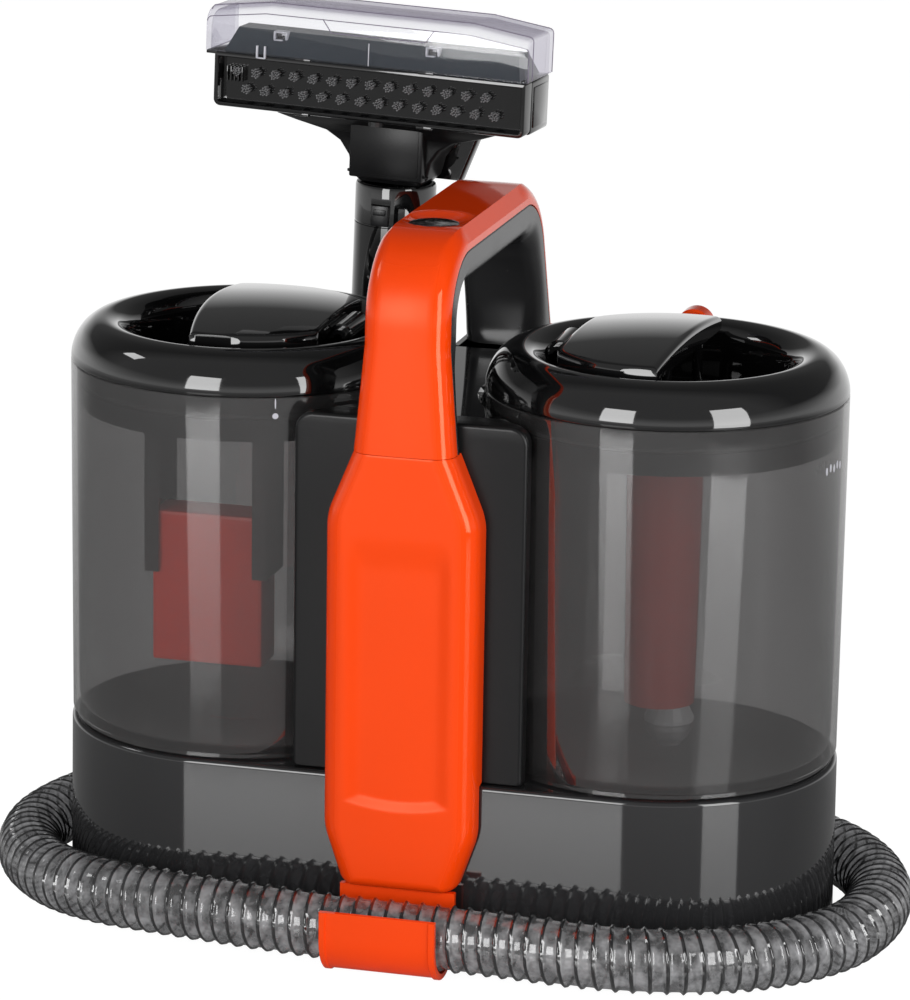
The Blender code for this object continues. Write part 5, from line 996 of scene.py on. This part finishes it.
def makeHood(t):
    half, low, high = t.headHalf + 0.0008, t.headHigh + seat, t.hoodHigh
    front, back = t.headFront - 0.0004, t.headBack

    def ring(y, drop, inset, foot):
        left, right, top = inset - half - 0.003, half - inset, high - drop - inset
        plan = [(left, foot), (right, foot), (right, top - 0.0036), (half - t.shoulder, top),
                (t.shoulder - half - 0.003, top), (left, top - 0.0036)]
        return [(p.x, y, p.y) for p in rounded(plan, [0.0002, 0.0002, 0.0022, 0.01, 0.01, 0.0022], 5)]

    def shell(inset, y0, y1, foot):
        made = bmesh.new()
        skin(made, [ring(y1, 0.0, inset, foot)] + [ring(y0 + t.hoodRound * drop, 0.005 * away, inset, foot)
                                                   for away, drop in quarter(5)])
        return made

    thin = t.hoodWall
    bm = carve(shell(0.0, front, back, low), shell(thin, front + thin, back + 0.01, low - 0.01))
    toolPiece("hood", bm, finish.hood, "clear_cover", 25.0, "clear_cover")
    reach, head, y0 = t.headHalf - 0.0036, t.headHigh + 0.0098, t.headFront + 0.0026
    bm = bmesh.new()
    skin(bm, [[(side * (reach - inset), y, z) for y, z, inset in (
        (y0, low, 0.0), (back - 0.004, low, 0.0), (back - 0.01, head, 0.0034), (y0 + 0.0075, head, 0.0034))]
        for side in (-1, 1)])
    toolPiece("rampPlate", bm, finish.slate, "ramp_plate", 30.0)
    y, z = y0 + 0.0036, head - 0.0016
    rims, cores = bmesh.new(), bmesh.new()
    for x in (-0.0432, 0.0262):
        slabs([((x + left, y, z + foot), (x + right, y + 0.0042, z + top), 0.0002) for left, right, foot, top in (
            (-0.0031, -0.0023, -0.0016, 0.0018), (0.0023, 0.0031, -0.0016, 0.0018),
            (-0.003, 0.003, 0.0012, 0.002), (-0.003, 0.001, -0.0022, -0.0016))], rims)
        slab(cores, (x - 0.0021, y + 0.0012, z - 0.0015), (x + 0.0021, y + 0.0044, z + 0.0011), 0.0002)
    toolPiece("clipFrames", rims, finish.pale)
    lips = bmesh.new()
    for y, drop in ((front + 0.0062, 0.0), (front + 0.0008, 0.0042), (back - 0.0003, 0.0)):
        line = ring(y, drop, 0.0, low)
        for a, b in zip(line, line[1:]):
            if max(a[2], b[2]) > low + 0.001:
                rod(lips, a, b, t.lip, 6)
    window = [(x, front + 0.0006, high - drop) for x, drop in
              ((-0.0215, 0.004), (-0.0175, 0.0095), (0.025, 0.0095), (0.029, 0.004))]
    for a, b in zip(window, window[1:]):
        rod(lips, a, b, t.lip, 6)
    toolPiece("hoodLips", lips, finish.lip, body="clear_cover")
    ribs = slabs([((-0.0002, front - 0.0003, low + 0.0004), (0.0002, front + 0.0002, low + 0.01), 0.00008)]
                 + [((x - 0.0004, front - 0.0009, low - 0.0012), (x + 0.0004, front + 0.0004, low + 0.0042), 0.0002)
                    for x in (-0.0508, -0.0472)]
                 + [((-0.0508, front - 0.0007, low - 0.0014), (-0.0472, front + 0.0002, low - 0.0008), 0.0002)])
    toolPiece("hoodRibs", ribs, finish.pale, body="clear_cover")
    toolPiece("clipCores", cores, finish.black)


def makeCuff(t):
    top, r = t.low - seat, t.cuffRadius
    low = top - t.cuffLength
    line = [(0.0, low), (r - 0.001, low), (r, low + 0.001)]
    for z in (low + 0.005 + 0.0032 * i for i in range(5)):
        line += [(r, z), (r - 0.0007, z + 0.0005), (r - 0.0007, z + 0.0013), (r, z + 0.0018)]
    bm = bmesh.new()
    lathe(bm, line + [(r, top - 0.001), (r - 0.0008, top), (0.0, top)], 72, closed=False)
    return toolPiece("toolCuff", bm, finish.dark, "tool_cuff", 32.0, yaw=False)


makeTube(tool)
makeNeck(tool)
makeHead(tool)
makeHood(tool)
cuff = makeCuff(tool)
print("hand tool ready")


keptParts = {
    finish.black: "tower_housing rear_cover hose_port tool_dock spray_trigger float_cage",
    finish.grey: "bottom_plate",
    finish.dark: "power_switch spray_nozzle valve_socket fan_housing water_pump air_duct dirty_duct",
    finish.rubber: "cord_gland recovery_lid_seal clean_lid_seal foot_front_left foot_front_right foot_rear_left "
                   "foot_rear_right pump_inlet_hose pump_outlet_hose",
    finish.steel: "trigger_pin valve_plunger valve_spring recovery_grip_pin clean_grip_pin suction_motor "
                  "fan_impeller",
    finish.red: "float", finish.valve: "valve_body", finish.foam: "exhaust_filter", finish.board: "control_board"}
for material, names in keptParts.items():
    for name in names.split():
        nodes[name].data.materials.clear()
        nodes[name].data.materials.append(material)
print("packed parts dressed")

studio = Sizes(floorSize=7.0, floorGrey=0.28, floorGloss=0.09, whiteLevel=0.968, shadowShare=0.17, mirrorWhite=0.08,
               sweepWhite=0.8, overheadFront=0.3, overheadBack=0.1, skyline=0.9, horizon=0.04, fade=0.3,
               lightLow=0.8, lightHigh=0.2,
               key=Sizes(place=(-0.46, -1.646, 0.705), aim=(0.0, 0.0, 0.705), width=0.645, height=0.99, power=13.5),
               fill=Sizes(place=(0.809, -0.567, 0.45), aim=(0.0, 0.0, 0.45), width=0.37, height=0.78, power=5.8),
               side=Sizes(place=(-1.38, -0.15, 1.3), aim=(-0.09, 0.0, 0.24), width=0.38, height=0.26, power=1.6))


def rays(g):
    path = g.node("LightPath")
    return path.out("Is Camera Ray").most(path.out("Is Transmission Ray")), path.out("Is Glossy Ray")


def makeFloor(s):
    g = Graph("studio floor")
    seen, glossy = rays(g)
    white, level = (g.node("Emission", None, {"Color": (1.0, 1.0, 1.0), "Strength": strength})
                    for strength in (1.0, s.whiteLevel))
    plain, shade = (g.node("BsdfDiffuse", None, {"Color": (share,) * 3}) for share in (0.8, s.shadowShare))
    backdrop = g.node("AddShader", None, {0: level, 1: shade})
    sheen = g.plastic(Base_Color=(s.floorGrey,) * 3, Roughness=s.floorGloss + g.noise(3.0, 4.0) * 0.02)
    behind = g.place().parts().out("Y").between(0.2, 1.2)
    mirror = g.blend(s.mirrorWhite + behind * (s.sweepWhite - s.mirrorWhite), sheen, white)
    g.output(g.blend(seen, g.blend(glossy, plain, mirror), backdrop))
    bm, half = bmesh.new(), s.floorSize / 2
    bm.faces.new([bm.verts.new((x, y, 0.0)) for x, y in corners(-half, half, -half, half)])
    mesh = toMesh("floor", bm)
    mesh.materials.append(g.material)
    floor = stand("floor", mesh)
    floor.location.z = -0.0004


def makeSky(s):
    # white where the camera looks; mirrored white at the horizon and darker overhead, as in a curved backdrop
    world = bpy.data.worlds.new("studio sky")
    g = Graph("sky", world)
    seen, glossy = rays(g)
    parts = g.node("TexCoord", take="Generated").parts()
    rise = parts.out("Z").between(s.horizon, s.fade)
    overhead = s.overheadFront + parts.out("Y").between(-0.2, 0.2) * (s.overheadBack - s.overheadFront)
    reflected = s.skyline + rise * (overhead - s.skyline)
    light = s.lightLow + rise * (s.lightHigh - s.lightLow)
    other = light + glossy * (reflected - light)
    g.output(g.node("Background", None, {"Color": (1.0, 1.0, 1.0), "Strength": other + seen * (1.0 - other)}))
    bpy.context.scene.world = world


def makeLamp(name, lamp):
    data = bpy.data.lights.new(name, "AREA")
    data.shape, data.size, data.size_y, data.energy = "RECTANGLE", lamp.width, lamp.height, lamp.power
    made = stand(name, data)
    made.location = lamp.place
    made.rotation_euler = (Vector(lamp.aim) - Vector(lamp.place)).to_track_quat("-Z", "Y").to_euler()


makeFloor(studio)
makeSky(studio)
makeLamp("key lamp", studio.key)
makeLamp("fill lamp", studio.fill)
makeLamp("side lamp", studio.side)
bpy.context.scene.view_settings.view_transform = "Standard"
print("studio ready")

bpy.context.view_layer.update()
